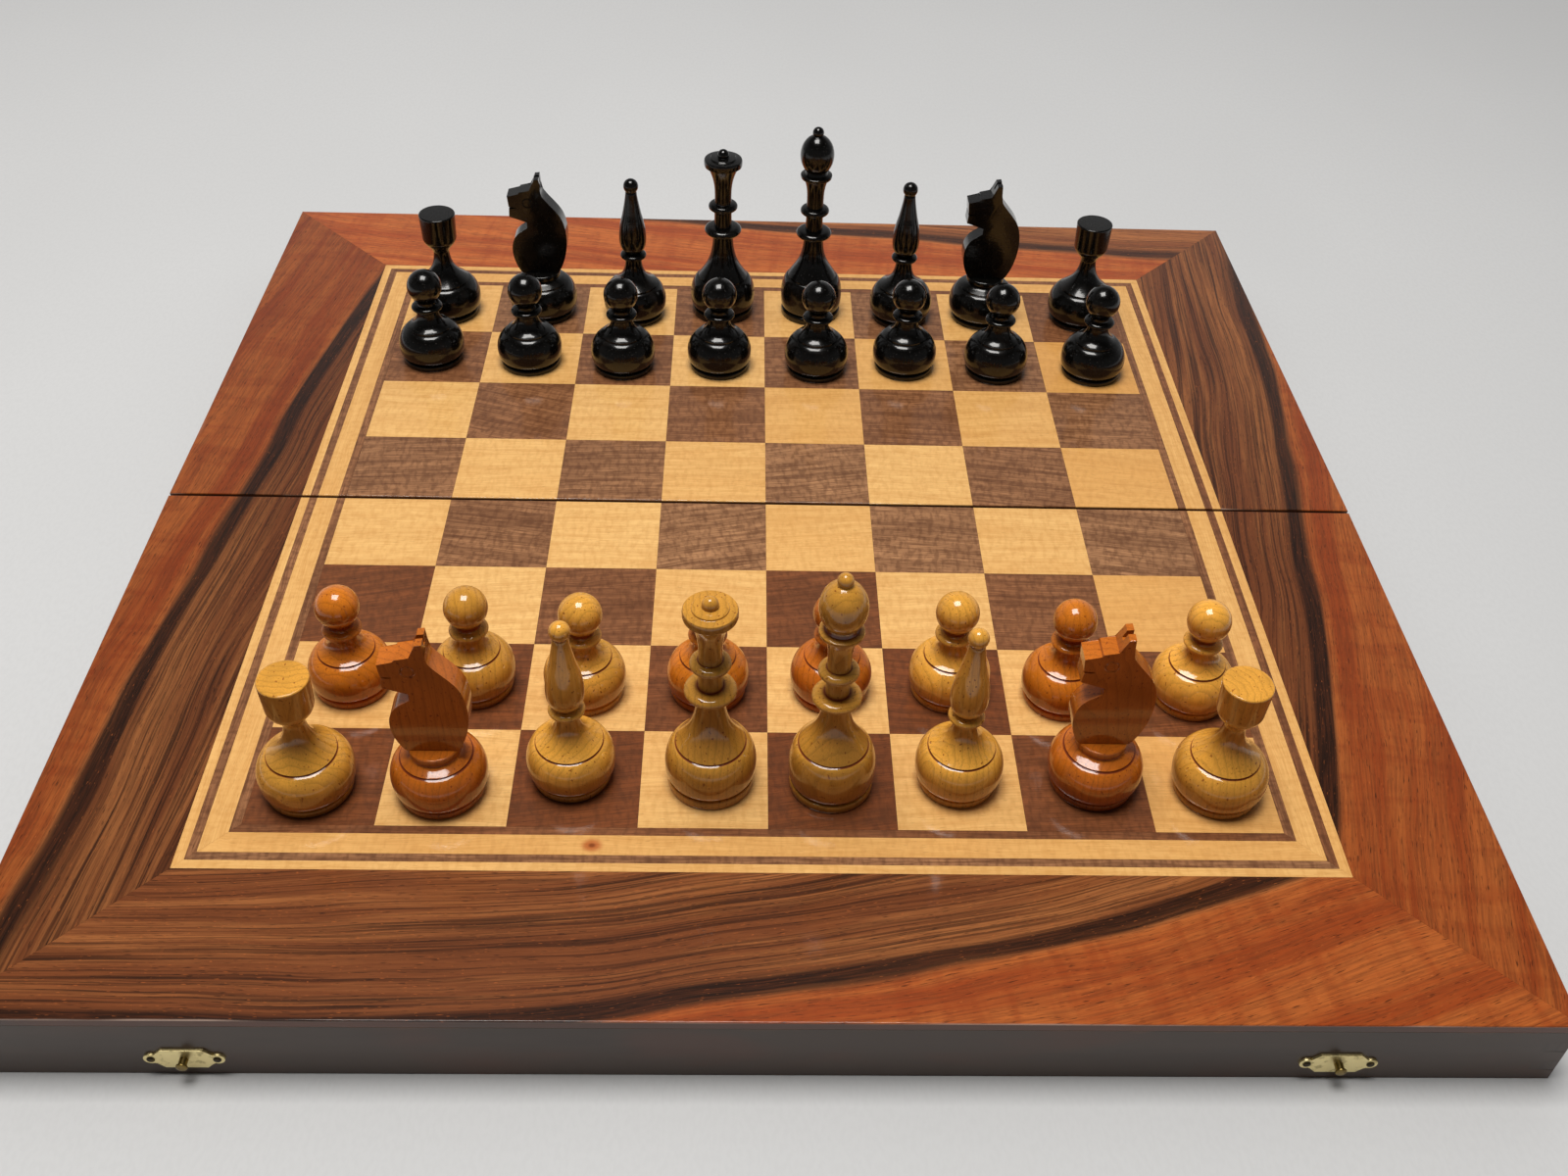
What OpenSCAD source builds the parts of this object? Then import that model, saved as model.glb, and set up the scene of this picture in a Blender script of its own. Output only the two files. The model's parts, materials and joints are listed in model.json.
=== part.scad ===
// Folding chess board that is its own box, with the thirty-two men set out on it.
// The origin is on the table under the middle of the fold. +Z is up, White sits on the -Y side.

/* [Playing field] */
// Side of one square
square_side = 45; // [40:0.5:54]
// Width the saw took when the finished box was cut into two halves
saw_kerf = 2; // [0.5:0.5:3]
// Dark line next to the squares
inner_line_w = 3.4; // [2:0.2:6]
// Light band between the two dark lines
band_w = 8.5; // [5:0.5:14]
// Dark line outside the light band
outer_line_w = 3.3; // [2:0.2:6]
// Light line outside the dark one
edge_line_w = 3.6; // [2:0.2:6]
// Border from the last line to the edge of the board
border_w = 56.2; // [30:1:75]

/* [Box] */
// Height of the rails
rail_h = 27; // [20:0.5:36]
// Thickness of the rails
rail_t = 9; // [8:0.5:14]
// Comb fingers down each corner (odd)
fingers = 5; // [3:2:9]
// Plywood panel under the veneer
panel_t = 3; // [2:0.5:6]
// Veneer
veneer_t = 0.6; // [0.4:0.1:1.2]
// Glue line between neighbouring veneers
glue_line = 0.06; // [0.02:0.01:0.2]
// Gap between the halves where they meet at the fold
fold_gap = 1.2; // [0.8:0.1:2]
// Gap between the two rims when the box is shut
rim_gap = 0.4; // [0.2:0.1:1]

/* [Hinges] */
// Length of each hinge
hinge_len = 30; // [20:1:60]
// Distance of each hinge from the middle of the fold
hinge_x = 150; // [80:5:175]
// Leaf thickness
leaf_t = 1; // [0.8:0.1:1.5]
// Leaf width, measured from the fold
leaf_w = 8.6; // [7.5:0.1:10]
// Radius over the knuckles
knuckle_r = 1.6; // [1.4:0.1:2.4]
// Radius of the pin
pin_r = 0.8; // [0.6:0.1:1]
// Radial clearance of the pin in the knuckles that turn on it
pin_clear = 0.05; // [0.02:0.01:0.1]
// Gap between neighbouring knuckles
knuckle_gap = 0.2; // [0.1:0.05:0.5]
// Clear space that the rails leave round the knuckles
knuckle_room = 0.4; // [0.3:0.1:1]

/* [Latches] */
// Distance of each latch from the middle of the box
latch_x = 183; // [120:1:200]
// Height of the stud and of the hook's pivot above the rim
latch_h = 9.5; // [7:0.5:12]
// Length of the plate between its ears
plate_len = 18; // [16:1:26]
// Height of the plate
plate_h = 9.6; // [8:0.2:12]
// Cut taken off each corner of the plate
plate_cut = 2.4; // [1:0.2:3]
// Plate thickness
plate_t = 0.8; // [0.6:0.1:1.2]
// Radius of the ears
ear_r = 2.4; // [2.2:0.1:3.5]
// Radius of the stud's neck and of the pivot
stud_r = 1.4; // [1.3:0.1:2]
// Thickness of the hook
hook_t = 1.2; // [0.8:0.1:1.6]
// Width of the hook
hook_w = 5; // [4.6:0.2:7]
// Clearance between moving brass faces
latch_clear = 0.3; // [0.2:0.05:0.5]

/* [Men] */
// Overall scale of the men
men_scale = 1; // [0.7:0.02:1.1]
// Thickness of the knights' sawn heads
head_t = 8.5; // [7:0.5:10]

/* [Hidden] */
$fn = 72;
MEN = ["rook", "knight", "bishop", "queen", "king", "bishop", "knight", "rook"];
WHITE_MEN = ["white_rook_a", "white_knight_b", "white_bishop_c", "white_queen_d",
             "white_king_e", "white_bishop_f", "white_knight_g", "white_rook_h"];
BLACK_MEN = ["black_rook_a", "black_knight_b", "black_bishop_c", "black_queen_d",
             "black_king_e", "black_bishop_f", "black_knight_g", "black_rook_h"];
WHITE_PAWNS = ["white_pawn_a", "white_pawn_b", "white_pawn_c", "white_pawn_d",
               "white_pawn_e", "white_pawn_f", "white_pawn_g", "white_pawn_h"];
BLACK_PAWNS = ["black_pawn_a", "black_pawn_b", "black_pawn_c", "black_pawn_d",
               "black_pawn_e", "black_pawn_f", "black_pawn_g", "black_pawn_h"];

// How far each man stands from the middle of its square, as the players left them.
WHITE_OFFSETS = [[-2.7, -4.9], [-1.8, -5], [-1.9, 1.8], [2.2, 0.4],
                 [-0.2, -1], [0, 0.9], [3.5, 1.3], [2.5, -2]];
BLACK_OFFSETS = [[-1.7, -2.5], [1.4, -1], [2.3, -2.5], [1.3, 3.2],
                 [1, 3.5], [1.4, 0], [-1.9, 2], [3.7, 1.5]];
WHITE_PAWN_OFFSETS = [[2.5, 0.6], [3.2, 1.1], [-0.5, -1.8], [0.2, -0.2],
                      [1.2, 0.5], [0.9, 1.7], [-1.7, -1.6], [2.5, -0.9]];
BLACK_PAWN_OFFSETS = [[-2.4, -1], [-0.4, -3], [-0.6, -5], [0.5, -3.5],
                      [2.2, -4.5], [0, -1.5], [-0.8, -3.5], [1.5, -3.5]];

FRONT = 0;
REAR = 1;
SIDES = [-1, 1];
HALF_SQUARES = 4;

// Lengths of one half, in the half's own frame: y runs outward from the hinge axis and
// z up from it, so the rim lies half the rim gap above the axis.
rim_z = rim_gap / 2;
face_y = fold_gap / 2;
field_x = HALF_SQUARES * square_side;
field_y = field_x - saw_kerf / 2;
bands_w = inner_line_w + band_w + outer_line_w + edge_line_w;
half_w = field_x + bands_w + border_w;
half_d = half_w;
rail_top = rim_z + rail_h;
panel_top = rail_top + panel_t;
top_z = panel_top + veneer_t;
corner_finger_h = rail_h / fingers;

// The knuckles stand proud of the rims, so the open board rests on them and on its outer
// edges, and each half leans outward by this angle.
axis_h = knuckle_r;
lean = asin(axis_h / norm([half_d, rim_z])) + atan(rim_z / half_d);

// Hinge: odd knuckles belong to the front leaf, even ones to the rear leaf.
knuckles = 5;
knuckle_pitch = hinge_len / knuckles;
notch_r = knuckle_r + knuckle_room;
leaf_in = notch_r;
screw_x = hinge_len / 2 - 6;
screw_y = (leaf_in + leaf_w) / 2;
screw_head_r = 1.9;
screw_r = 0.9;
screw_len = 9;

// Latch: with the box shut, the hook's pivot lies below the stud by this distance.
latch_z = rim_z + latch_h;
reach = 2 * latch_z;
ear_x = plate_len / 2 + ear_r * 0.55;
nail_r = 0.7;
nail_head_r = 1.3;
nail_head_t = 0.5;
nail_len = 6;
hook_under = nail_head_t + latch_clear;
stud_neck = hook_under + hook_t + latch_clear;
stud_head_r = stud_r + 0.5;
stud_head_t = 0.9;
shank_len = 6;

// Men
line_cut = 0.45;
tenon_r = 3.4;
tenon_len = 8;
knight_disc_z = 23.5;
eye_r = 2.5;
eye_cut = 0.4;
ear_slit_w = 1.8;
ear_slit_z = 46.6;

// Puts one half's own frame where that half lies on the table.
module place(side)
    translate([0, 0, axis_h])
        mirror([0, side == FRONT ? 1 : 0, 0])
            rotate([-lean, 0, 0])
                children();

// ---- rails ----

// A rail across the box, its outer or fold face at y.
module cross_rail(y)
    translate([0, y, 0])
        difference() {
            translate([-half_w, 0, rim_z]) cube([2 * half_w, rail_t, rail_h]);
            for (k = [1 : 2 : fingers - 1], s = SIDES)
                translate([s > 0 ? half_w - rail_t : -half_w, 0, rim_z + k * corner_finger_h])
                    cube([rail_t, rail_t, corner_finger_h]);
        }

// A rail from the fold to the outer edge, s = -1 on the left.
module end_rail(side, s)
    color("#3a302b") place(side) translate([s > 0 ? half_w - rail_t : -half_w, 0, 0])
        difference() {
            translate([0, face_y, rim_z]) cube([rail_t, half_d - face_y, rail_h]);
            for (k = [0 : 2 : fingers - 1], y = [face_y, half_d - rail_t])
                translate([0, y, rim_z + k * corner_finger_h])
                    cube([rail_t, rail_t, corner_finger_h]);
        }

module outer_rail(side)
    color("#3a302b") place(side)
        difference() {
            cross_rail(half_d - rail_t);
            for (s = SIDES, dx = [-ear_x, ear_x])
                translate([s * latch_x + dx, half_d, latch_z])
                    out(-nail_len) cylinder(r = nail_r, h = nail_len);
            for (s = SIDES)
                translate([s * latch_x, half_d, latch_z]) out(-shank_len) cylinder(r = stud_r, h = shank_len);
        }

// Turns +Z to point outward along +Y, starting d beyond the face.
module out(d)
    translate([0, d, 0]) rotate([-90, 0, 0]) children();

module hinge_rail(side)
    color("#3a302b") place(side)
        difference() {
            cross_rail(face_y);
            for (s = SIDES) translate([s * hinge_x, 0, 0]) hinge_pocket();
        }

// Recess for one hinge: round the knuckles, under the leaf and down the screws.
module hinge_pocket() {
    rotate([0, 90, 0]) cylinder(r = notch_r, h = hinge_len + 2 * knuckle_gap, center = true);
    translate([-hinge_len / 2, 0, rim_z]) cube([hinge_len, leaf_w, leaf_t]);
    for (dx = [-screw_x, screw_x])
        translate([dx, screw_y, rim_z]) cylinder(r = screw_r, h = screw_len);
}

// ---- top ----

module panel(side)
    color("#b98f5e") place(side)
        translate([-half_w, face_y, rail_top]) cube([2 * half_w, half_d - face_y, panel_t]);

// Three mitred strips of veneer round a half, their inner corner at x0, y0 and outer at x1, y1.
module strips(x0, y0, x1, y1)
    translate([0, 0, panel_top]) {
        for (s = SIDES)
            linear_extrude(veneer_t)
                polygon([[s * x0, face_y], [s * x1, face_y],
                         [s * x1, y1 - glue_line], [s * x0, y0 - glue_line]]);
        linear_extrude(veneer_t)
            polygon([[-x0, y0], [x0, y0], [x1, y1], [-x1, y1]]);
    }

module line_strips(inset, w) {
    near = inset + glue_line / 2;
    far = inset + w - glue_line / 2;
    strips(field_x + near, field_y + near, field_x + far, field_y + far);
}

// Squares of one colour: files count from the left, rows outward from the fold.
module squares(side, parity)
    for (file = [0 : 2 * HALF_SQUARES - 1], row = [0 : HALF_SQUARES - 1])
        if ((file + row + (side == FRONT ? 1 : 0)) % 2 == parity) {
            x0 = (file - HALF_SQUARES) * square_side + glue_line / 2;
            y0 = max(face_y, row * square_side - saw_kerf / 2 + glue_line / 2);
            y1 = (row + 1) * square_side - saw_kerf / 2 - glue_line / 2;
            translate([x0, y0, panel_top])
                cube([square_side - glue_line, y1 - y0, veneer_t]);
        }

module border_veneer(side)
    color("#8a4a2c") place(side)
        strips(field_x + bands_w + glue_line / 2, field_y + bands_w + glue_line / 2, half_w, half_d);

module light_veneer(side)
    color("#dcab5c") place(side) {
        squares(side, 1);
        line_strips(inner_line_w, band_w);
        line_strips(inner_line_w + band_w + outer_line_w, edge_line_w);
    }

module dark_veneer(side)
    color("#5d3f33") place(side) {
        squares(side, 0);
        line_strips(0, inner_line_w);
        line_strips(inner_line_w + band_w, outer_line_w);
    }

// ---- hinges ----

// Leaf plate and knuckles of one side of one hinge, before the bores.
module leaf(side) {
    own = [for (k = [0 : knuckles - 1]) if ((k + side) % 2 == 0) k];
    difference() {
        union() {
            translate([-hinge_len / 2, leaf_in, rim_z]) cube([hinge_len, leaf_w - leaf_in, leaf_t]);
            for (k = own) knuckle(k) {
                rotate([0, 90, 0]) cylinder(r = knuckle_r, h = knuckle_pitch - knuckle_gap, center = true);
                translate([-(knuckle_pitch - knuckle_gap) / 2, 0, rim_z])
                    cube([knuckle_pitch - knuckle_gap, leaf_in + 0.5, leaf_t]);
            }
        }
        rotate([0, 90, 0])
            cylinder(r = side == FRONT ? pin_r : pin_r + pin_clear, h = hinge_len + 1, center = true);
        for (dx = [-screw_x, screw_x])
            translate([dx, screw_y, rim_z]) screw_shape(leaf_t);
    }
}

module knuckle(k)
    translate([(k - (knuckles - 1) / 2) * knuckle_pitch, 0, 0]) children();

// Countersunk head flush with the rim, then the shank into the rail.
module screw_shape(len) {
    cylinder(r1 = screw_head_r, r2 = screw_r, h = leaf_t);
    cylinder(r = screw_r, h = len);
}

module hinge_leaves(side)
    color("#b39a5e") place(side)
        for (s = SIDES) translate([s * hinge_x, 0, 0]) leaf(side);

module hinge_screws(side)
    color("#9a9a96") place(side)
        for (s = SIDES, dx = [-screw_x, screw_x])
            translate([s * hinge_x + dx, screw_y, rim_z]) screw_shape(screw_len);

module hinge_pins()
    color("#9a9a96")
        for (s = SIDES)
            translate([s * hinge_x, 0, axis_h]) rotate([0, 90, 0])
                cylinder(r = pin_r, h = hinge_len - knuckle_gap, center = true);

// ---- latches ----

// Oblong with its four corners cut off.
module plate_outline() {
    x = plate_len / 2;
    y = plate_h / 2;
    polygon([[x, y - plate_cut], [x - plate_cut, y], [plate_cut - x, y], [-x, y - plate_cut],
             [-x, plate_cut - y], [plate_cut - x, -y], [x - plate_cut, -y], [x, plate_cut - y]]);
}

// Plate with an ear at each end, its back on the wall.
module plate_blank()
    difference() {
        out(0) linear_extrude(plate_t) {
            plate_outline();
            for (s = SIDES) translate([s * ear_x, 0]) circle(r = ear_r);
        }
        for (s = SIDES) translate([s * ear_x, 0, 0]) out(-1) cylinder(r = nail_r, h = plate_t + 2);
        out(-1) cylinder(r = stud_r, h = plate_t + 2);
    }

module plates(side)
    color("#b8a25f") place(side)
        for (s = SIDES) translate([s * latch_x, half_d, latch_z]) plate_blank();

module plate_nails(side)
    color("#a8925a") place(side)
        for (s = SIDES, dx = [-ear_x, ear_x])
            translate([s * latch_x + dx, half_d, latch_z]) {
                out(-nail_len) cylinder(r = nail_r, h = nail_len + plate_t);
                out(plate_t) cylinder(r = nail_head_r, h = nail_head_t);
            }

// Neck and head that the hook turns on, or catches behind, with its shank in the rail.
module stud() {
    out(-shank_len) cylinder(r = stud_r, h = shank_len + plate_t + stud_neck);
    out(plate_t + stud_neck) cylinder(r = stud_head_r, h = stud_head_t);
}

module latch_studs()
    color("#b8a25f") place(FRONT)
        for (s = SIDES) translate([s * latch_x, half_d, latch_z]) stud();

// The pivot stays in its plate, so the pair is one node.
module hook_plates() {
    plates(REAR);
    color("#b8a25f") place(REAR)
        for (s = SIDES) translate([s * latch_x, half_d, latch_z]) stud();
}

// Flat hook lying along the wall towards the middle of the box. Its mouth follows the arc
// that the stud takes as the hook swings.
module hook(s)
    color("#b8a25f") place(REAR)
        translate([s * latch_x, half_d + plate_t + hook_under, latch_z])
            mirror([s > 0 ? 1 : 0, 0, 0])
                out(0) linear_extrude(hook_t) difference() {
                    union() {
                        translate([0, -hook_w / 2]) square([reach, hook_w]);
                        circle(r = hook_w / 2);
                        translate([reach, 0]) circle(r = hook_w / 2 + 0.6);
                    }
                    circle(r = stud_r + latch_clear / 2);
                    translate([reach, 0]) circle(r = stud_r + latch_clear);
                    intersection() {
                        difference() {
                            circle(r = reach + stud_r + latch_clear);
                            circle(r = reach - stud_r - latch_clear);
                        }
                        square(2 * reach);
                    }
                }

// ---- men ----

function arc(z, r, a0, a1, n = 8) =
    [for (i = [0 : n]) let(a = a0 + (a1 - a0) * i / n) [r * cos(a), z + r * sin(a)]];

function bead(z, ri, ro, h, n = 6) =
    [for (i = [0 : n]) let(a = -90 + 180 * i / n) [ri + (ro - ri) * cos(a), z + h / 2 * sin(a)]];

function curve(a, b, c, d, n = 6) =
    [for (i = [0 : n]) let(t = i / n, s = 1 - t) s*s*s*a + 3*s*s*t*b + 3*s*t*t*c + t*t*t*d];

function egg(z, r, below, above, a0, a1, n = 9) =
    [for (i = [0 : n]) let(a = a0 + (a1 - a0) * i / n)
        [r * cos(a), z + (a < 0 ? below : above) * sin(a)]];

// Foot of every man: plinth, cove, belly up to the incised line at [line_r, line_z].
function foot(plinth_r, belly_r, belly_z, line_r, line_z, plinth_h = 2.6) =
    let(z0 = plinth_h + 0.9)
    concat([[0, 0]],
           bead(plinth_h / 2, plinth_r, plinth_r + 0.5, plinth_h, 4),
           [[plinth_r - 0.7, plinth_h + 0.2]],
           curve([plinth_r - 0.4, z0], [plinth_r + (belly_r - plinth_r) * 0.9, z0 + 0.3],
                 [belly_r, belly_z - (belly_z - z0) * 0.45], [belly_r, belly_z], 5),
           curve([belly_r, belly_z], [belly_r, (belly_z + line_z) / 2],
                 [line_r + (belly_r - line_r) * 0.45, line_z - 0.6], [line_r + 0.3, line_z], 5),
           [[line_r - line_cut, line_z + 0.1], [line_r - line_cut, line_z + 0.8]]);

function pawn_outline() = concat(
    foot(13.6, 15.3, 8.8, 10.4, 17.4),
    curve([10.2, 18.3], [7.4, 19.4], [5.2, 21.5], [4.9, 26.4]),
    bead(28.2, 4.6, 7.2, 3), [[4.6, 30.2], [4.6, 32]],
    arc(38.7, 8, -52, 90));

function rook_outline() = concat(
    foot(14.6, 16.7, 9.6, 12.1, 17.6),
    curve([11.9, 18.5], [7.6, 22], [4.2, 25], [3.8, 33]),
    curve([3.8, 33], [4.2, 36.4], [7.6, 37.4], [8.2, 41], 5),
    [[8.7, 52.8], [8.5, 53.4], [0, 53.4]]);

function bishop_outline() = concat(
    foot(13.4, 15.6, 9.4, 11.9, 17.4),
    curve([11.7, 18.3], [7.6, 20.5], [4.2, 23.5], [4, 30.8]),
    bead(33.4, 4, 6.4, 3), [[4.2, 35.4]],
    curve([4.2, 35.6], [7.6, 38], [7.2, 46], [4.6, 55.5]),
    curve([4.6, 55.5], [3.6, 60.5], [3, 63.5], [2.8, 66.6], 4),
    arc(69.8, 3.6, -44, 90));

function queen_outline() = concat(
    foot(14.8, 16.1, 10.5, 12.4, 19.5, 3.8),
    curve([12.1, 20.4], [8, 26], [5.2, 31], [4.9, 42]), [[4.9, 42.6]],
    bead(45.1, 6, 9, 4), [[4.4, 47.5], [4.2, 55.4]],
    bead(57.6, 5, 7.1, 3.4), [[4.2, 59.6]],
    curve([4.1, 59.9], [3.9, 68], [4.5, 72.5], [7.6, 78]),
    [[9, 78.6], [9.2, 81.4], [8.9, 82], [6.2, 82.3], [6.1, 82.8], [2.9, 83]],
    arc(83.9, 2.8, -16, 90, 6));

function king_outline() = concat(
    foot(14.4, 15.3, 11.5, 12.3, 20.6, 3.4),
    curve([12, 21.5], [9, 26.5], [5, 30], [4.8, 41.6]),
    bead(44.2, 6, 8.6, 3.6), [[4.2, 46.3], [4.1, 54]],
    bead(56.2, 5, 7, 3.4), [[4.1, 58.2]],
    curve([4.1, 58.5], [4, 66], [4.3, 69], [6, 73]),
    [[7.5, 73.4], [7.6, 75.1], [5.6, 75.7], [5.4, 76.4]],
    egg(84.9, 8.1, 10.2, 10, -50, 73),
    arc(96, 2.7, -32, 90, 6));

function knight_foot_outline() = concat(
    foot(14.6, 16.75, 9.4, 12.6, 17.4),
    curve([12.2, 18.3], [10.4, 19.2], [9.2, 19.4], [8.7, 20.4], 4),
    bead(21.9, 8.7, 9.2, 3, 4), [[8.5, knight_disc_z], [0, knight_disc_z]]);

// Sawn outline of the knight's head, facing -X and standing on the disc.
HEAD_OUTLINE = concat(
    [[-12.7, 35.3], [-13.2, 40.8], [-7.6, 41.9], [-7.3, 43], [-2.2, 43.8],
     [0.1, 49.5], [2.4, 49.8], [2.6, 45.2]],
    curve([2.8, 42.5], [4.5, 38.5], [9, 35], [11.6, 30.5], 5),
    curve([11.6, 30.5], [15.6, 23], [14.6, 8.5], [8.6, 0], 8),
    [[-8.6, 0]],
    curve([-8.6, 0], [-12.8, 5], [-15.6, 18], [-7.5, 22.5], 8),
    [[-4.4, 24.3], [-4.4, 27.6], [-12.9, 30.2], [-12.6, 34.5], [-8.8, 34.5], [-8.8, 35.3]]);
EYE = [-3.6, 37.6];

function distinct(p) = [for (i = [0 : len(p) - 1]) if (i == 0 || norm(p[i] - p[i - 1]) > 0.02) p[i]];

function outline(kind) =
    kind == "pawn" ? pawn_outline() : kind == "rook" ? rook_outline() :
    kind == "bishop" ? bishop_outline() : kind == "queen" ? queen_outline() :
    kind == "king" ? king_outline() : knight_foot_outline();

module turned(kind)
    rotate_extrude() polygon(distinct(outline(kind)));

module knight() {
    difference() {
        turned("knight");
        translate([0, 0, knight_disc_z - tenon_len]) cylinder(r = tenon_r, h = tenon_len + 1);
    }
    translate([0, 0, knight_disc_z]) {
        translate([0, 0, -tenon_len]) cylinder(r = tenon_r, h = tenon_len);
        difference() {
            rotate([90, 0, 0])
                linear_extrude(head_t, center = true) polygon(distinct(HEAD_OUTLINE));
            for (s = SIDES)
                translate([EYE[0], s * (head_t / 2 - eye_cut / 2), EYE[1]]) rotate([90, 0, 0])
                    difference() {
                        cylinder(r = eye_r, h = eye_cut + 0.01, center = true);
                        cylinder(r = eye_r - 0.7, h = 1, center = true);
                    }
            // The saw parts the crest into two ears.
            translate([-6, -ear_slit_w / 2, ear_slit_z]) cube([12, ear_slit_w, 6]);
        }
    }
}

module man(kind)
    scale(men_scale)
        if (kind == "knight") knight(); else turned(kind);

// Stands a man on its square: rank counts outward from the fold, 0 to 3.
module stand(kind, side, file, row, offset)
    place(side)
        translate([(file - HALF_SQUARES + 0.5) * square_side + offset[0],
                   (row + 0.5) * square_side - saw_kerf / 2 + (side == FRONT ? -1 : 1) * offset[1],
                   top_z])
            mirror([0, side == FRONT ? 1 : 0, 0])
                man(kind);

module white_man(kind, file, row, offset)
    color("#c08a3c") stand(kind, FRONT, file, row, offset);

module black_man(kind, file, row, offset)
    color("#1b1816") stand(kind, REAR, file, row, offset);

outer_rail(FRONT);  // front_outer_rail
end_rail(FRONT, -1);  // front_left_rail
end_rail(FRONT, 1);  // front_right_rail
hinge_rail(FRONT);  // front_hinge_rail
panel(FRONT);  // front_panel
border_veneer(FRONT);  // front_border_veneer
light_veneer(FRONT);  // front_light_veneer
dark_veneer(FRONT);  // front_dark_veneer
outer_rail(REAR);  // rear_outer_rail
end_rail(REAR, -1);  // rear_left_rail
end_rail(REAR, 1);  // rear_right_rail
hinge_rail(REAR);  // rear_hinge_rail
panel(REAR);  // rear_panel
border_veneer(REAR);  // rear_border_veneer
light_veneer(REAR);  // rear_light_veneer
dark_veneer(REAR);  // rear_dark_veneer
hinge_leaves(FRONT);  // front_hinge_leaves
hinge_leaves(REAR);  // rear_hinge_leaves
hinge_pins();
hinge_screws(FRONT);  // front_hinge_screws
hinge_screws(REAR);  // rear_hinge_screws
plates(FRONT);  // stud_plates
latch_studs();
plate_nails(FRONT);  // stud_plate_nails
hook_plates();
plate_nails(REAR);  // hook_plate_nails
hook(-1);  // left_hook
hook(1);  // right_hook
for (i = [0 : 7]) {
    white_man(MEN[i], i, 3, WHITE_OFFSETS[i]);
    black_man(MEN[i], i, 3, BLACK_OFFSETS[i]);
    white_man("pawn", i, 2, WHITE_PAWN_OFFSETS[i]);
    black_man("pawn", i, 2, BLACK_PAWN_OFFSETS[i]);
}
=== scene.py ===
"""Folding chess board that is its own box, with its thirty-two turned men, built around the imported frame."""

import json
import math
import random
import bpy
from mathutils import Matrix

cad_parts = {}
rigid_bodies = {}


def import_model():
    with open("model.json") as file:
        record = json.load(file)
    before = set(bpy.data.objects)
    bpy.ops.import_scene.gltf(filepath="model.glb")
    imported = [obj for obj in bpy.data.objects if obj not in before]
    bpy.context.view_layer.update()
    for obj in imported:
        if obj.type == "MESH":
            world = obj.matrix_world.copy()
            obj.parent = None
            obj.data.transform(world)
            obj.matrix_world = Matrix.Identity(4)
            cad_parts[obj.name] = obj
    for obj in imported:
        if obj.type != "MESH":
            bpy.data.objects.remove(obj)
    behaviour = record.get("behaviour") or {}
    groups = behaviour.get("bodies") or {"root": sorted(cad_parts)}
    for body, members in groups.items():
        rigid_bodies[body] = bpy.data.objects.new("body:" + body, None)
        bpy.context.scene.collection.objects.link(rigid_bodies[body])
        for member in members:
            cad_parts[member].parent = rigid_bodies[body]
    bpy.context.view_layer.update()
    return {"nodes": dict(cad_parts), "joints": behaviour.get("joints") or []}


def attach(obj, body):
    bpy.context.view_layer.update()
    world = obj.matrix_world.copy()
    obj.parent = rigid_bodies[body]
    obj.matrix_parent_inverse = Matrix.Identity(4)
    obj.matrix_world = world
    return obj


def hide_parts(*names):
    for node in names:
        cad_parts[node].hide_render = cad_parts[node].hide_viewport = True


bl_info = {
    "name": "Folding Chess Set",
    "version": (1, 0, 0),
    "blender": (4, 5, 0),
    "location": "3D View > Sidebar > Chess Set",
    "description": "Veneers, rails, brass fittings and turned men of a folding chess set",
    "category": "Object",
}

import bmesh
import bpy
from bpy.props import FloatProperty, FloatVectorProperty, IntProperty, PointerProperty
from bpy.types import Operator, Panel, PropertyGroup
from mathutils import Matrix, Vector

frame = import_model()

MM = 0.001
SIDES = (-1, 1)
HALVES = ("front", "rear")
FILES = "abcdefgh"


# ---- colours and places ----


def linear(hex_colour):
    """Linear RGB of an sRGB hex colour."""
    channels = [int(hex_colour[i : i + 2], 16) / 255 for i in (1, 3, 5)]
    return [c / 12.92 if c <= 0.04045 else ((c + 0.055) / 1.055) ** 2.4 for c in channels]


def colour(name, description, hex_colour):
    """A colour that a user may change."""
    return FloatVectorProperty(
        name=name, description=description, subtype="COLOR", size=3, min=0, max=1, default=linear(hex_colour)
    )


def length(name, description, millimetres):
    """A length that a user may change."""
    return FloatProperty(
        name=name, description=description, subtype="DISTANCE", unit="LENGTH", default=millimetres * MM
    )


def rgba(rgb, gain=1.0):
    """RGBA of a linear RGB colour, lightened or darkened by gain."""
    return [min(1.0, c * gain) for c in rgb] + [1.0]


def half_matrices():
    """For each half, the matrix from its own frame, hinge axis and square to its top, to the row frame."""
    fold = next(j for j in frame["joints"] if j["name"] == "fold")
    found = {}
    for half in HALVES:
        lift = next(j for j in frame["joints"] if j["type"] == "slide" and j["parent"] == half + "_half")
        lean = math.asin(-lift["axis"][1])
        found[half] = Matrix.Translation(fold["pos_m"]) @ Matrix.Rotation(lean, 4, "X")
    return found


HALF = half_matrices()


def own_box(node, half):
    """Lowest and highest corner of a CAD node in the own frame of the half that it belongs to."""
    to_own = HALF[half].inverted()
    corners = [to_own @ v.co for v in frame["nodes"][node].data.vertices]
    return [Vector(pick(c[i] for c in corners) for i in range(3)) for pick in (min, max)]


# Levels and edges that both halves share, in the rear half's own frame.
TOP = own_box("rear_border_veneer", "rear")
PANEL = own_box("rear_panel", "rear")
RAIL = own_box("rear_left_rail", "rear")
HALF_WIDTH = TOP[1].x
HALF_DEPTH = TOP[1].y
FOLD_FACE = TOP[0].y
RAIL_THICKNESS = RAIL[1].x - RAIL[0].x


# ---- settings ----


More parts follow.
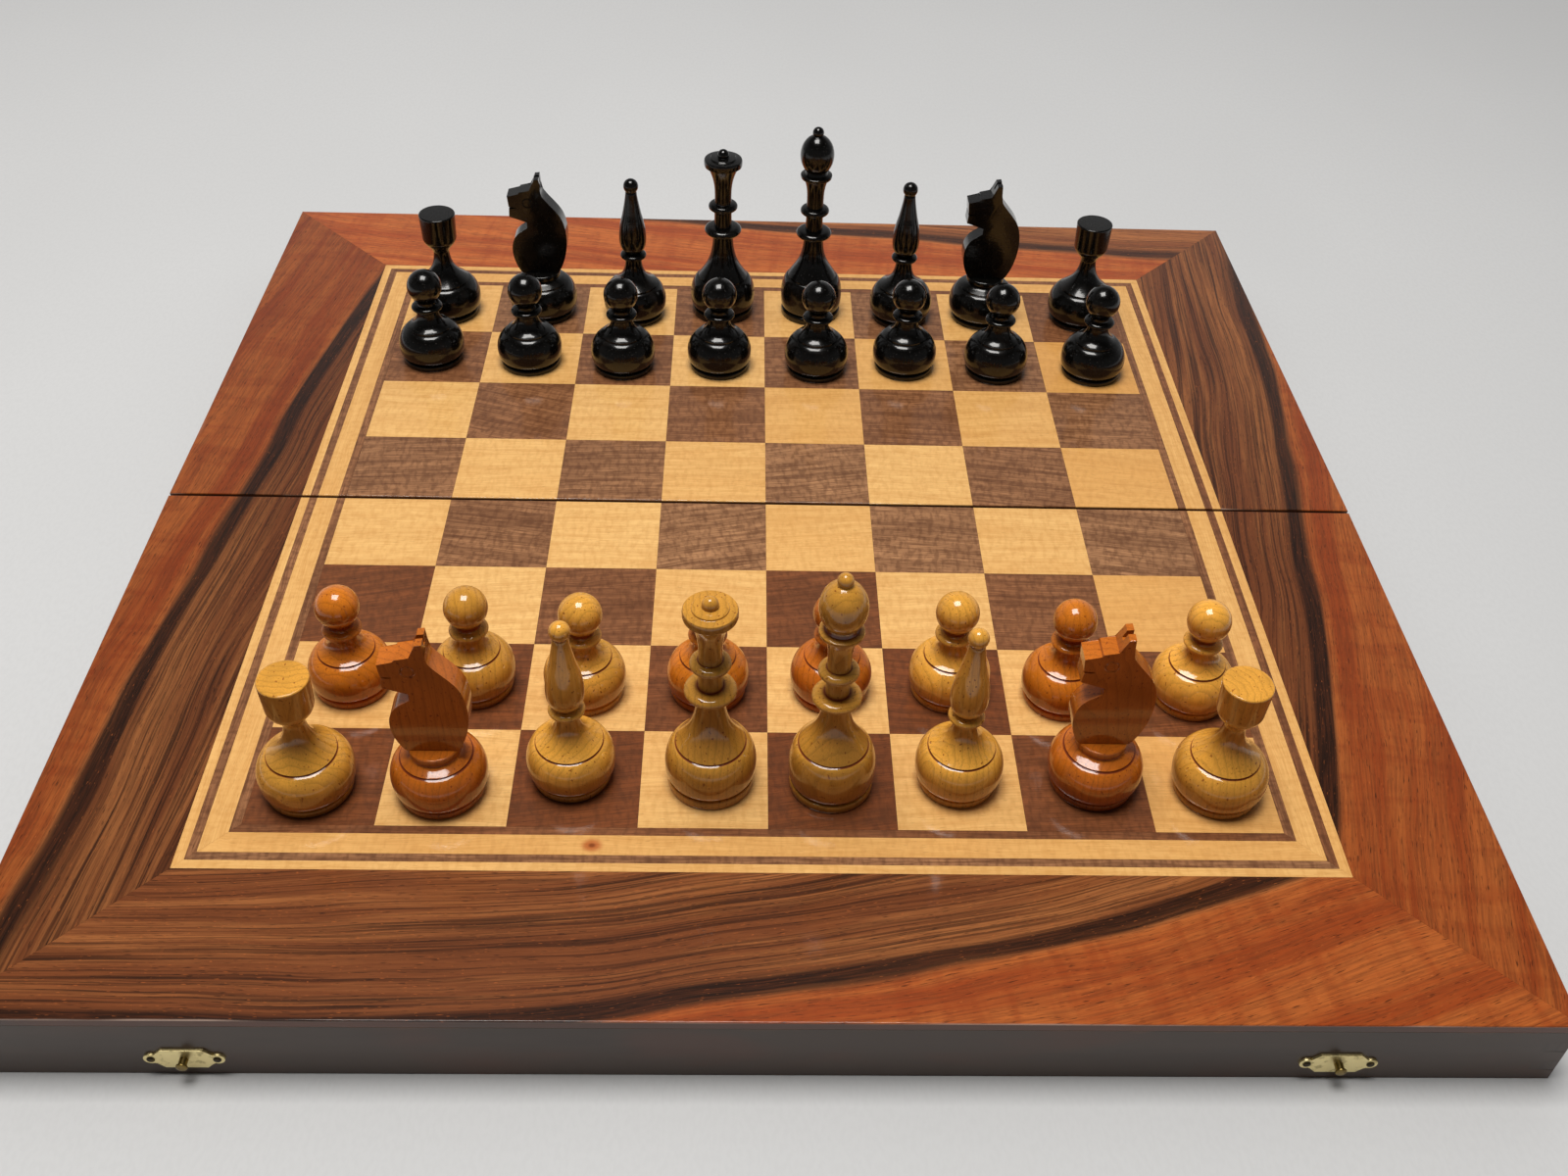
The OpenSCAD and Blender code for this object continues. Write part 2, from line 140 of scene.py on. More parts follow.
class ChessBoardSettings(PropertyGroup):
    square_side: length("Square", "Side of one square", 45)
    saw_kerf: length("Saw kerf", "Width lost when the box was sawn into two halves", 2)
    inner_line: length("Inner line", "Dark line next to the squares", 3.4)
    band: length("Band", "Light band between the dark lines", 8.5)
    outer_line: length("Outer line", "Dark line outside the band", 3.3)
    edge_line: length("Edge line", "Light line outside the dark one", 3.6)
    glue_line: length("Glue line", "Line between neighbouring veneers", 0.06)
    arris: length("Arris", "Rounding of the outer edges", 0.4)
    fingers: IntProperty(name="Fingers", description="Comb fingers down each corner", default=5, min=3, max=9)
    maple_pale: colour("Maple, pale", "Ground of the palest light squares", "#fbcb82")
    maple_deep: colour("Maple, deep", "Ground of the deepest light squares", "#e4a558")
    maple_line: colour("Maple, lines", "Grain lines of the light veneer", "#c98d48")
    walnut_pale: colour("Walnut, pale", "Ground of the palest dark squares", "#c08d62")
    walnut_deep: colour("Walnut, deep", "Ground of the deepest dark squares", "#8a4c28")
    walnut_line: colour("Walnut, lines", "Grain lines of the dark veneer", "#5a3520")
    sapwood_pale: colour("Border sapwood, pale", "Orange part of the border", "#bb642c")
    sapwood_deep: colour("Border sapwood, deep", "Red part of the border", "#963c14")
    heartwood_pale: colour("Border heartwood, pale", "Brown part of the border", "#a96838")
    heartwood_deep: colour("Border heartwood, deep", "Brown bands of the border", "#70391c")
    streak: colour("Border streaks", "Near-black streaks of the border", "#241209")
    stain: colour("Stain", "Stain on the rails and the panel's edge", "#4a382c")
    plywood: colour("Plywood", "Bare birch inside the trays", "#c9a272")


class ChessFittingSettings(PropertyGroup):
    latch_x: length("Latches", "Distance of each latch from the middle of the box", 183)
    latch_z: length("Latch height", "Height of each latch above the fold axis", 9.7)
    plate_length: length("Plate length", "Length of a plate between its ears", 18)
    plate_height: length("Plate height", "Height of a plate", 9.6)
    plate_cut: length("Plate corners", "Cut taken off each corner of a plate", 2.4)
    ear: length("Ear", "Radius of a plate's ears", 2.4)
    brass: colour("Brass", "Thin pressed brass of plates, hooks and hinges", "#f4e2a6")
    tarnish: colour("Tarnish", "Spots and edges where the brass has dulled", "#7d6a3c")
    steel: colour("Steel", "Pins and screws", "#a9a8a4")
    nail: colour("Nails", "Blackened nail heads", "#3a3226")


class ChessMenSettings(PropertyGroup):
    segments: IntProperty(name="Segments", description="Steps round each turned man", default=96, min=24, max=256)
    honey: colour("Honey", "Beech under clear yellow lacquer", "#f0ac44")
    olive: colour("Olive", "Beech under older, greener lacquer", "#dc9c3c")
    amber: colour("Amber", "Beech under warm lacquer", "#d87b1f")
    russet: colour("Russet", "Beech under red-brown lacquer", "#cf701e")
    # Also painted as shade in the men's coves over the plinths and at their necks beside the beads.
    groove_stain_and_shade: colour("Groove", "Stain left in the incised lines", "#7a3010")
    black: colour("Black", "Black lacquer", "#080706")


class ChessStageSettings(PropertyGroup):
    floor: colour("Floor", "Pale cloth that the board stands on", "#d3d4d5")
    lens: FloatProperty(name="Lens", description="Focal length", subtype="DISTANCE_CAMERA", default=35.06)
    eye: FloatVectorProperty(
        name="Eye", description="Place of the camera", subtype="TRANSLATION", unit="LENGTH",
        default=(-0.0117, -0.5182, 0.4430),
    )
    gaze: FloatVectorProperty(
        name="Gaze", description="Turn of the camera", subtype="EULER", unit="ROTATION",
        default=[math.radians(a) for a in (48.43, -1.74, -0.79)],
    )
    lamp_power: FloatProperty(name="Lamp", description="Power of the ceiling softbox", subtype="POWER", default=39)
    lamp_side: FloatProperty(name="Lamp side", description="Side of the softbox", unit="LENGTH", default=0.95)
    lamp_height: FloatProperty(name="Lamp height", description="Height of the softbox", unit="LENGTH", default=2.0)
    ambient: FloatProperty(name="Ambient", description="Strength of the room's own light from behind", default=0.35)
    mirror: FloatProperty(name="Mirrored room", description="Strength of the room as lacquer mirrors it", default=0.3)


# ---- shader graphs ----


def add(tree, kind, inputs=None, **settings):
    """Adds a node with its settings, and fills its inputs with values or links."""
    node = tree.nodes.new("ShaderNode" + kind)
    for key, value in settings.items():
        setattr(node, key, value)
    for key, value in (inputs or {}).items():
        if isinstance(value, bpy.types.Node):
            value = value.outputs[0]
        if isinstance(value, bpy.types.NodeSocket):
            tree.links.new(value, node.inputs[key])
        else:
            node.inputs[key].default_value = value
    return node


def empty_material(name):
    """A new material with an empty node tree."""
    material = bpy.data.materials.new(name)
    material.use_nodes = True
    material.node_tree.nodes.clear()
    return material, material.node_tree


def wood_place(tree, baked=True):
    """Place in the wood in millimetres, baked on each vertex; on a CAD node it is the object's own place."""
    if baked:
        return add(tree, "Attribute", attribute_name="grain").outputs["Vector"]
    place = add(tree, "TexCoord").outputs["Object"]
    return add(tree, "VectorMath", {0: place, "Scale": 1 / MM}, operation="SCALE").outputs[0]


def figure(tree, place, size, detail=2.0, roughness=0.5):
    """Noise whose patches measure size millimetres along, across and through the grain."""
    scaled = add(tree, "VectorMath", {0: place, 1: [1 / s for s in size]}, operation="MULTIPLY")
    return add(tree, "TexNoise", {"Vector": scaled, "Scale": 1.0, "Detail": detail, "Roughness": roughness})


def wander(tree, place, size, reach):
    """Place in the wood, pushed across the grain by up to reach millimetres so that straight lines sway."""
    sway = figure(tree, place, size)
    push = add(tree, "VectorMath", {0: sway.outputs["Color"], 1: (0, reach, 0)}, operation="MULTIPLY")
    middle = add(tree, "VectorMath", {0: push, 1: (0, -reach / 2, 0)}, operation="ADD")
    return add(tree, "VectorMath", {0: place, 1: middle}, operation="ADD")


def tint(tree, under, pattern, low, high, strength, over):
    """Lays a colour over another where a pattern rises from low to high, up to this strength."""
    ends = {"Value": pattern, "From Min": low, "From Max": high, "To Max": strength}
    amount = add(tree, "MapRange", ends, interpolation_type="SMOOTHSTEP")
    return add(tree, "Mix", {0: amount, 6: under, 7: over}, data_type="RGBA").outputs[2]


# Clear gloss lacquer: all of the shine is the coat's, and the wood under it has next to none.
LACQUER = {"Coat Weight": 1.0, "Specular IOR Level": 0.08}


def finish_surface(tree, colours, roughness, relief, depth, shader):
    """Ends a material: Principled surface whose bump is relief, at most depth millimetres deep."""
    bump = add(tree, "Bump", {"Height": relief, "Strength": 1.0, "Distance": depth * MM})
    settings = {"Base Color": colours, "Roughness": roughness, "Normal": bump}
    if "Coat Weight" in shader:
        settings["Coat Normal"] = bump
    settings.update(shader)
    add(tree, "OutputMaterial", {"Surface": add(tree, "BsdfPrincipled", settings)})


# ---- materials of the board ----


def veneer(name, pale, deep, line, line_mm, contrast, knot=None):
    """Sliced veneer under thick gloss lacquer: straight grain lines, fine pores, short flecks and, on request, a
    small knot. Each piece of veneer lies between the pale and the deep ground by its own tone."""
    material, tree = empty_material(name)
    place = wood_place(tree)
    bent = wander(tree, place, (70, 22, 50), line_mm * 2.2)
    fine = figure(tree, bent, (14, 0.55, 10), 2, 0.6)
    tone = add(tree, "Attribute", attribute_name="tone").outputs["Fac"]
    wood = tint(tree, rgba(deep), tone, 0.0, 1.0, 1.0, rgba(pale))
    wood = tint(tree, wood, figure(tree, bent, (90, line_mm, 40), 3, 0.6), 0.38, 0.68, contrast * 0.8, rgba(line))
    wood = tint(tree, wood, figure(tree, place, (30, 14, 20), 2), 0.4, 0.7, contrast * 0.4, rgba(line, 1.3))
    wood = tint(tree, wood, fine, 0.35, 0.75, contrast, rgba(line))
    wood = tint(tree, wood, figure(tree, place, (2.2, 5.5, 10), 2), 0.42, 0.66, contrast * 0.65, rgba(line))
    wood = tint(tree, wood, figure(tree, bent, (3.5, 0.32, 6), 1), 0.62, 0.76, contrast, rgba(line, 0.6))
    if knot:
        off = add(tree, "VectorMath", {0: wood_place(tree, False), 1: knot}, operation="SUBTRACT")
        flat = add(tree, "VectorMath", {0: off, 1: (0.75, 1, 0)}, operation="MULTIPLY")
        away = add(tree, "VectorMath", {0: flat}, operation="LENGTH").outputs["Value"]
        wood = tint(tree, wood, away, 3.6, 1.2, 0.75, (*linear("#b4501e"), 1))
        wood = tint(tree, wood, away, 1.3, 0.4, 0.7, (*linear("#6a2c10"), 1))
    finish_surface(tree, wood, 0.42, fine, 0.02, {**LACQUER, "Coat Roughness": 0.09})
    return material


def border(name, board):
    """Rosewood-like veneer, sliced and lacquered: brown heartwood with near-black streaks beside orange sapwood.
    Across the grain, 0 is where the one turns into the other."""
    material, tree = empty_material(name)
    place = wood_place(tree)
    bent = wander(tree, place, (150, 45, 60), 16)
    across = add(tree, "SeparateXYZ", {0: bent}).outputs[1]
    broad = figure(tree, bent, (200, 8, 60), 3, 0.55)
    thin = figure(tree, bent, (170, 1.9, 60), 3, 0.6)
    hair = figure(tree, bent, (90, 0.8, 40), 2, 0.6)
    fine = figure(tree, bent, (16, 0.6, 12), 2, 0.6)
    ribbon = figure(tree, place, (6, 34, 20))
    heart = tint(tree, rgba(board.heartwood_pale), broad, 0.36, 0.62, 0.8, rgba(board.heartwood_deep))
    heart = tint(tree, heart, thin, 0.5, 0.66, 0.8, rgba(board.streak))
    heart = tint(tree, heart, hair, 0.5, 0.66, 0.65, rgba(board.streak))
    sap = tint(tree, rgba(board.sapwood_pale), broad, 0.38, 0.66, 0.8, rgba(board.sapwood_deep))
    sap = tint(tree, sap, ribbon, 0.42, 0.68, 0.4, rgba(board.sapwood_deep))
    sap = tint(tree, sap, hair, 0.58, 0.75, 0.25, rgba(board.sapwood_deep, 0.6))
    wood = tint(tree, heart, across, -1.5, 2.5, 1.0, sap)
    off = add(tree, "Math", {0: across, 1: 4.0}, operation="ADD")
    near = add(tree, "MapRange", {"Value": add(tree, "Math", {0: off}, operation="ABSOLUTE"), "From Min": 7.0,
                                  "From Max": 1.0})
    dark = add(tree, "Math", {0: near, 1: broad}, operation="MULTIPLY")
    wood = tint(tree, wood, dark, 0.12, 0.4, 0.95, rgba(board.streak))
    wood = tint(tree, wood, fine, 0.35, 0.7, 0.5, rgba(board.heartwood_deep, 0.8))
    wood = tint(tree, wood, figure(tree, bent, (5, 0.4, 6), 1), 0.62, 0.74, 0.7, rgba(board.streak))
    wood = tint(tree, wood, figure(tree, bent, (2.5, 0.3, 6), 0), 0.76, 0.82, 0.35, rgba(board.sapwood_pale, 1.6))
    tone = add(tree, "Attribute", attribute_name="tone").outputs["Fac"]
    shade = add(tree, "MapRange", {"Value": tone, "To Min": 0.5, "To Max": 1.5})
    wood = add(tree, "VectorMath", {0: wood, "Scale": shade.outputs[0]}, operation="SCALE").outputs[0]
    # Pale and patchy along the outer edges and the fold: partly worn bare wood, partly a painted highlight on the
    # rounded arris.
    wear = add(tree, "Attribute", attribute_name="mark").outputs["Fac"]
    bare = add(tree, "Math", {0: figure(tree, place, (60, 30, 20)), 1: wear}, operation="MULTIPLY")
    wood = tint(tree, wood, bare, 0.35, 0.6, 0.75, (*linear("#e6c4b0"), 1))
    finish_surface(tree, wood, 0.4, fine, 0.02, {**LACQUER, "Coat Roughness": 0.09})
    return material


def stained_rail(name, board, baked=True):
    """Beech rail, planed, stained nearly black and lacquered: faint grain, rubbed brown and paler on its edges."""
    material, tree = empty_material(name)
    place = wood_place(tree, baked)
    lines = figure(tree, place, (120, 3.5, 20), 3, 0.6)
    fine = figure(tree, place, (12, 0.6, 6), 2, 0.6)
    wood = tint(tree, rgba(board.stain), lines, 0.4, 0.7, 0.55, rgba(board.stain, 0.6))
    wood = tint(tree, wood, figure(tree, place, (60, 25, 25)), 0.5, 0.75, 0.35, rgba(board.heartwood_deep, 0.8))
    wear = add(tree, "Attribute", attribute_name="mark").outputs["Fac"]
    worn = add(tree, "Math", {0: wear, 1: fine}, operation="MULTIPLY")
    wood = tint(tree, wood, worn, 0.3, 0.6, 0.5, rgba(board.heartwood_pale, 0.6))
    finish_surface(tree, wood, 0.38, lines, 0.06, {"Coat Weight": 0.5, "Coat Roughness": 0.2, "Specular IOR Level": 0.15})
    return material


def plywood(name, board):
    """Birch plywood: bare and pale inside the trays, its sawn edge stained like the rails."""
    material, tree = empty_material(name)
    place = wood_place(tree)
    lines = figure(tree, place, (150, 6, 30), 3, 0.6)
    fine = figure(tree, place, (20, 0.7, 10), 2, 0.6)
    bare = tint(tree, rgba(board.plywood), lines, 0.35, 0.7, 1.0, rgba(board.plywood, 0.78))
    bare = tint(tree, bare, fine, 0.4, 0.8, 0.3, rgba(board.plywood, 0.6))
    stained = tint(tree, rgba(board.heartwood_deep, 0.8), lines, 0.4, 0.7, 1.0, rgba(board.stain, 0.7))
    edge = add(tree, "Attribute", attribute_name="mark").outputs["Fac"]
    wood = tint(tree, bare, edge, 0.3, 0.7, 1.0, stained)
    finish_surface(tree, wood, 0.5, fine, 0.04, {"Coat Weight": 0.3, "Coat Roughness": 0.3})
    return material


# ---- materials of the fittings and the men ----


def metal(name, bright, dull, roughness, spot_mm):
    """Pressed brass or drawn steel, handled for years: faint scratches and dull spots."""
    material, tree = empty_material(name)
    place = wood_place(tree, False)
    spots = figure(tree, place, (spot_mm,) * 3, 3, 0.6)
    colours = tint(tree, rgba(bright), spots, 0.5, 0.7, 0.55, rgba(dull))
    ends = {"Value": spots, "From Min": 0.45, "From Max": 0.7, "To Min": roughness, "To Max": roughness + 0.2}
    rough = add(tree, "MapRange", ends)
    scratches = figure(tree, place, (3.0, 0.25, 0.25), 2, 0.6)
    finish_surface(tree, colours, rough, scratches, 0.03, {"Metallic": 1.0})
    return material


def lacquered_beech(name, clear, groove_stain_and_shade):
    """Beech, turned on a lathe and dipped in yellowed gloss lacquer: growth rings cut by the curves, short rays,
    dark stain in the incised lines, faint tool rings, painted shade in the coves and at the necks, and painted
    shade on steep and downward-facing sides, a deeper and redder brown there."""
    material, tree = empty_material(name)
    place = wood_place(tree)
    flat = add(tree, "VectorMath", {0: place, 1: (1, 1, 0)}, operation="MULTIPLY")
    reach = add(tree, "VectorMath", {0: flat}, operation="LENGTH").outputs["Value"]
    rings = add(tree, "Math", {0: reach, 1: 1 / 2.4}, operation="MULTIPLY")  # one ring each 2.4 mm
    rings = add(tree, "Math", {0: figure(tree, place, (9, 9, 45)), 1: 2.2, 2: rings}, operation="MULTIPLY_ADD")
    late = add(tree, "Math", {0: add(tree, "Math", {0: rings}, operation="FRACT"), 1: 3.0}, operation="POWER")
    fibre = figure(tree, place, (0.6, 0.6, 14), 2, 0.6)
    wood = tint(tree, rgba(clear, 1.12), late, 0.1, 1.0, 0.5, rgba(clear, 0.55))
    wood = tint(tree, wood, figure(tree, place, (12, 12, 26)), 0.35, 0.7, 0.45, rgba(clear, 0.62))
    wood = tint(tree, wood, fibre, 0.35, 0.75, 0.28, rgba(clear, 0.5))
    wood = tint(tree, wood, figure(tree, place, (0.5, 0.5, 2.6), 1), 0.6, 0.72, 0.35, rgba(clear, 0.42))
    wood = tint(tree, wood, figure(tree, place, (0.9, 0.9, 1.2), 0), 0.74, 0.8, 0.7, rgba(groove_stain_and_shade))
    steep = add(tree, "SeparateXYZ", {0: add(tree, "NewGeometry").outputs["Normal"]}).outputs[2]
    painted_shade = add(tree, "VectorMath", {0: wood, 1: (0.42, 0.3, 0.3)}, operation="MULTIPLY")  # painted shade: steep and downward-facing sides darker and redder
    wood = tint(tree, wood, steep, 0.75, -0.1, 0.7, painted_shade)
    tone = add(tree, "Attribute", attribute_name="tone").outputs["Fac"]
    shade = add(tree, "MapRange", {"Value": tone, "To Min": 0.75, "To Max": 1.25})
    wood = add(tree, "VectorMath", {0: wood, "Scale": shade.outputs[0]}, operation="SCALE")
    # Groove colour where the profile marks it: stain in the incised lines, painted shade in the coves and at the
    # necks.
    line = add(tree, "Attribute", attribute_name="mark").outputs["Fac"]
    wood = tint(tree, wood, line, 0.15, 0.95, 1.0, rgba(groove_stain_and_shade))
    tooled = add(tree, "Attribute", attribute_name="turning").outputs["Vector"]
    relief = add(tree, "Math", {0: figure(tree, tooled, (1, 0.5, 0.5), 1), 1: fibre})
    finish_surface(tree, wood, 0.4, relief, 0.012, {**LACQUER, "Coat Roughness": 0.08})
    return material


def black_lacquer(name, black):
    """Beech turned and dipped in black gloss lacquer: deep, with tool rings and runs that break the highlights."""
    material, tree = empty_material(name)
    place = wood_place(tree)
    thin = figure(tree, place, (9, 9, 20), 3, 0.6)
    brown = [3.2 * black[0], 2.2 * black[1], 1.8 * black[2], 1]
    body = tint(tree, rgba(black), thin, 0.55, 0.75, 0.5, brown)
    body = tint(tree, body, figure(tree, place, (0.7, 0.7, 0.7), 0), 0.72, 0.8, 0.12, (0.2, 0.19, 0.18, 1))
    tooled = add(tree, "Attribute", attribute_name="turning").outputs["Vector"]
    relief = add(tree, "Math", {0: figure(tree, tooled, (1, 0.6, 0.6), 2), 1: figure(tree, place, (1.6, 1.6, 2.2), 1)})
    rough = add(tree, "MapRange", {"Value": thin, "From Min": 0.5, "From Max": 0.75, "To Min": 0.24, "To Max": 0.36})
    finish_surface(tree, body, rough, relief, 0.02, {"Coat Weight": 0.7, "Coat Roughness": 0.09, "Specular IOR Level": 0.15})
    return material


def cloth(name, pale):
    """Pale woven oilcloth: a fine weave, drawn at 1.6 mm so that it shows, and the shade of soft creases painted in
    broad, slightly darker patches.
    """
    material, tree = empty_material(name)
    place = wood_place(tree, False)
    weave = figure(tree, place, (1.6, 3.2, 1.6), 1)
    # Painted shade of soft creases: broad patches a little darker.
    ground = tint(tree, rgba(pale), figure(tree, place, (260, 420, 300), 3), 0.3, 0.7, 0.35, rgba(pale, 0.9))
    ground = tint(tree, ground, weave, 0.35, 0.7, 0.3, rgba(pale, 0.9))
    finish_surface(tree, ground, 0.7, weave, 0.05, {"Specular IOR Level": 0.3})
    return material


# ---- meshes ----


class Solids:
    """Collects solids with their place in the wood, and makes one object of them."""

    def __init__(self, matrix):
        self.matrix = matrix
        self.verts, self.faces, self.paints = [], [], []
        self.grain, self.turning, self.mark, self.tone = [], [], [], []

    def take(self, bm, grain, mark=None, tone=0.5, paint=0, place=Matrix.Identity(4)):
        """Adds a bmesh. Grain and mark are worked out from each vertex in the bmesh's own frame."""
        bmesh.ops.recalc_face_normals(bm, faces=bm.faces)
        bm.verts.index_update()
        base = len(self.verts)
        cut = bm.verts.layers.float.get("mark")
        for vert in bm.verts:
            self.verts.append(self.matrix @ place @ vert.co)
            self.grain.extend(grain(vert.co))
            self.turning.extend((0, vert.co.z / MM, vert.co.xy.length / MM))
            self.mark.append(vert[cut] if cut else mark(vert.co) if mark else 0.0)
            self.tone.append(tone)
        for face in bm.faces:
            self.faces.append([base + vert.index for vert in face.verts])
            self.paints.append(paint)
        bm.free()

    def make(self, name, materials, body, slot, *nodes, sharp=35):
        """One object on a CAD body, in place of these CAD nodes."""
        mesh = bpy.data.meshes.new(name)
        mesh.from_pydata(self.verts, [], self.faces)
        for key, kind, field, values in (
            ("grain", "FLOAT_VECTOR", "vector", self.grain),
            ("turning", "FLOAT_VECTOR", "vector", self.turning),
            ("mark", "FLOAT", "value", self.mark),
            ("tone", "FLOAT", "value", self.tone),
        ):
            mesh.attributes.new(key, kind, "POINT").data.foreach_set(field, values)
        for material in materials:
            mesh.materials.append(material)
        mesh.polygons.foreach_set("material_index", self.paints)
        mesh.shade_smooth()
        mesh.set_sharp_from_angle(angle=math.radians(sharp))
        piece = bpy.data.objects.new(name, mesh)
        bpy.context.scene.collection.objects.link(piece)
        flats = piece.modifiers.new("flats", "WEIGHTED_NORMAL")  # keeps wide faces flat beside rounded edges
        flats.keep_sharp = True
        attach(piece, body)
        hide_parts(*nodes)
        return piece


def prism(outline, low, high):
    """Solid between two levels over an outline."""
    bm = bmesh.new()
    rings = [[bm.verts.new((x, y, z)) for x, y in outline] for z in (low, high)]
    for ring in rings:
        bm.faces.new(ring)
    for i in range(len(outline)):
        j = (i + 1) % len(outline)
        bm.faces.new((rings[0][i], rings[0][j], rings[1][j], rings[1][i]))
    return bm


def soften(bm, width, choose=lambda a, b: True, segments=2):
    """Rounds the edges whose two ends pass the choice."""
    edges = [e for e in bm.edges if choose(e.verts[0].co, e.verts[1].co)]
    bmesh.ops.bevel(bm, geom=edges, offset=width, segments=segments, profile=0.5, affect="EDGES", clamp_overlap=True)


def spin(profile, segments):
    """Solid of revolution of (radius, height) points in millimetres; a third number marks where the groove colour
    goes: stain in an incised line, painted shade in a cove or at a neck.
    """
    bm = bmesh.new()
    cut = bm.verts.layers.float.new("mark")
    rings = []
    for radius, height, *mark in profile:
        around = segments if radius > 1e-6 else 1
        angles = [2 * math.pi * k / around for k in range(around)]
        ring = [bm.verts.new((radius * MM * math.cos(a), radius * MM * math.sin(a), height * MM)) for a in angles]
        for vert in ring:
            vert[cut] = mark[0] if mark else 0.0
        rings.append(ring)
    for lower, upper in zip(rings, rings[1:]):
        for k in range(segments):
            n = k + 1
            corners = [lower[k % len(lower)], lower[n % len(lower)], upper[n % len(upper)], upper[k % len(upper)]]
            bm.faces.new([c for i, c in enumerate(corners) if c not in corners[:i]])
    return bm


def carve(bm, cutters):
    """Cuts other solids out of a solid."""
    meshes = [bpy.data.meshes.new("cut") for _ in [bm, *cutters]]
    pieces = []
    for mesh, source in zip(meshes, [bm, *cutters]):
        bmesh.ops.recalc_face_normals(source, faces=source.faces)
        source.to_mesh(mesh)
        source.free()
        pieces.append(bpy.data.objects.new("cut", mesh))
        bpy.context.scene.collection.objects.link(pieces[-1])
    for cutter in pieces[1:]:
        modifier = pieces[0].modifiers.new("cut", "BOOLEAN")
        modifier.operation, modifier.solver, modifier.object = "DIFFERENCE", "EXACT", cutter
    bpy.context.view_layer.update()
    carved = pieces[0].evaluated_get(bpy.context.evaluated_depsgraph_get()).to_mesh()
    result = bmesh.new()
    result.from_mesh(carved)
    for piece in pieces:
        bpy.data.objects.remove(piece)
    for mesh in meshes:
        bpy.data.meshes.remove(mesh)
    return result


def repaint(node, material):
    """Gives a CAD node that stays a better material."""
    for place in frame["nodes"][node].material_slots:
        place.material = material


# ---- veneers ----


def facing(half):
    """+1 towards the rear edge, -1 towards the front edge."""
    return 1 if half == "rear" else -1


def on_rim(a, b):
    """Whether an edge lies at the top along the board's outer edge or the fold."""
    near = 1e-5
    if min(a.z, b.z) < TOP[1].z - near:
        return False
    sides = abs(a.x) > HALF_WIDTH - near and abs(b.x) > HALF_WIDTH - near
    ends = abs(a.y) > HALF_DEPTH - near and abs(b.y) > HALF_DEPTH - near
    fold = abs(a.y) < FOLD_FACE + near and abs(b.y) < FOLD_FACE + near
    return sides or ends or fold


def rim_wear_and_highlight(co):
    """1 at the board's outer edges and the fold, 0 a millimetre inward: where the border shows worn bare wood and a
    painted highlight along the rounded arris.
    """
    inward = min(HALF_WIDTH - abs(co.x), HALF_DEPTH - abs(co.y), abs(co.y) - FOLD_FACE)
    return max(0.0, 1.0 - inward / MM)


def along(origin, heading, shift=(0, 0), bow=0.0):
    """Grain that runs from origin, in millimetres, at this heading in degrees, bowed by so much per square
    millimetre: places along and across it."""
    turn = Matrix.Rotation(-math.radians(heading), 2)

    def place(co):
        flat = turn @ (Vector((co.x, co.y)) / MM - Vector(origin))
        return flat.x + shift[0], flat.y + shift[1] + bow * flat.x**2, co.z / MM

    return place


def lay(solids, outline, grain, tone=0.5, sliced=False):
    """Lays one piece of veneer, rounded where it reaches the edge of the board or the fold. Slices across it let
    bowed grain follow its curve."""
    bm = prism(outline, TOP[0].z, TOP[1].z)
    soften(bm, bpy.context.scene.chess_board.arris, on_rim, 3)
    for step in range(-10, 11) if sliced else ():
        for axis in ((1, 0, 0), (0, 1, 0)):
            parts = [*bm.verts, *bm.edges, *bm.faces]
            bmesh.ops.bisect_plane(bm, geom=parts, plane_co=Vector(axis) * 0.024 * step, plane_no=axis)
    solids.take(bm, grain, rim_wear_and_highlight, tone)


def strip_outlines(half, near, far):
    """Left, right and outer strips of a band between two distances from the squares, mitred at its corners."""
    board = bpy.context.scene.chess_board
    way = facing(half)
    glue = board.glue_line
    field = 4 * board.square_side
    x0, y0 = field + near, field - board.saw_kerf / 2 + near
    x1, y1 = (field + far, field - board.saw_kerf / 2 + far) if far else (HALF_WIDTH, HALF_DEPTH)
    sides = [(x0, FOLD_FACE), (x1, FOLD_FACE), (x1, y1 - glue), (x0, y0 - glue)]
    return {
        "left": [(-x, way * y) for x, y in sides],
        "right": [(x, way * y) for x, y in sides],
        half: [(-x0, way * y0), (x0, way * y0), (x1, way * y1), (-x1, way * y1)],
    }


def lay_line(solids, half, inset, width, seed):
    """Lays a line round three sides of a half, its grain along it and unbroken across the fold."""
    glue = bpy.context.scene.chess_board.glue_line / 2
    for side, outline in strip_outlines(half, inset + glue, inset + width - glue).items():
        rng = random.Random(f"{seed} {side}")
        heading = 0 if side == half else 90
        grain = along((0, 0), heading + rng.uniform(-0.6, 0.6), (rng.uniform(0, 900), rng.uniform(0, 90)))
        lay(solids, outline, grain, rng.uniform(0.3, 0.7))


# How pale the squares of each rank are, from White's side to Black's, for either veneer.
RANK_TONE = {1: (0.75, 0.8, 0.75, 0.75, 0.75, 0.65, 0.6, 0.6), 0: (0.1, 0.12, 0.3, 0.72, 0.75, 0.6, 0.55, 0.5)}


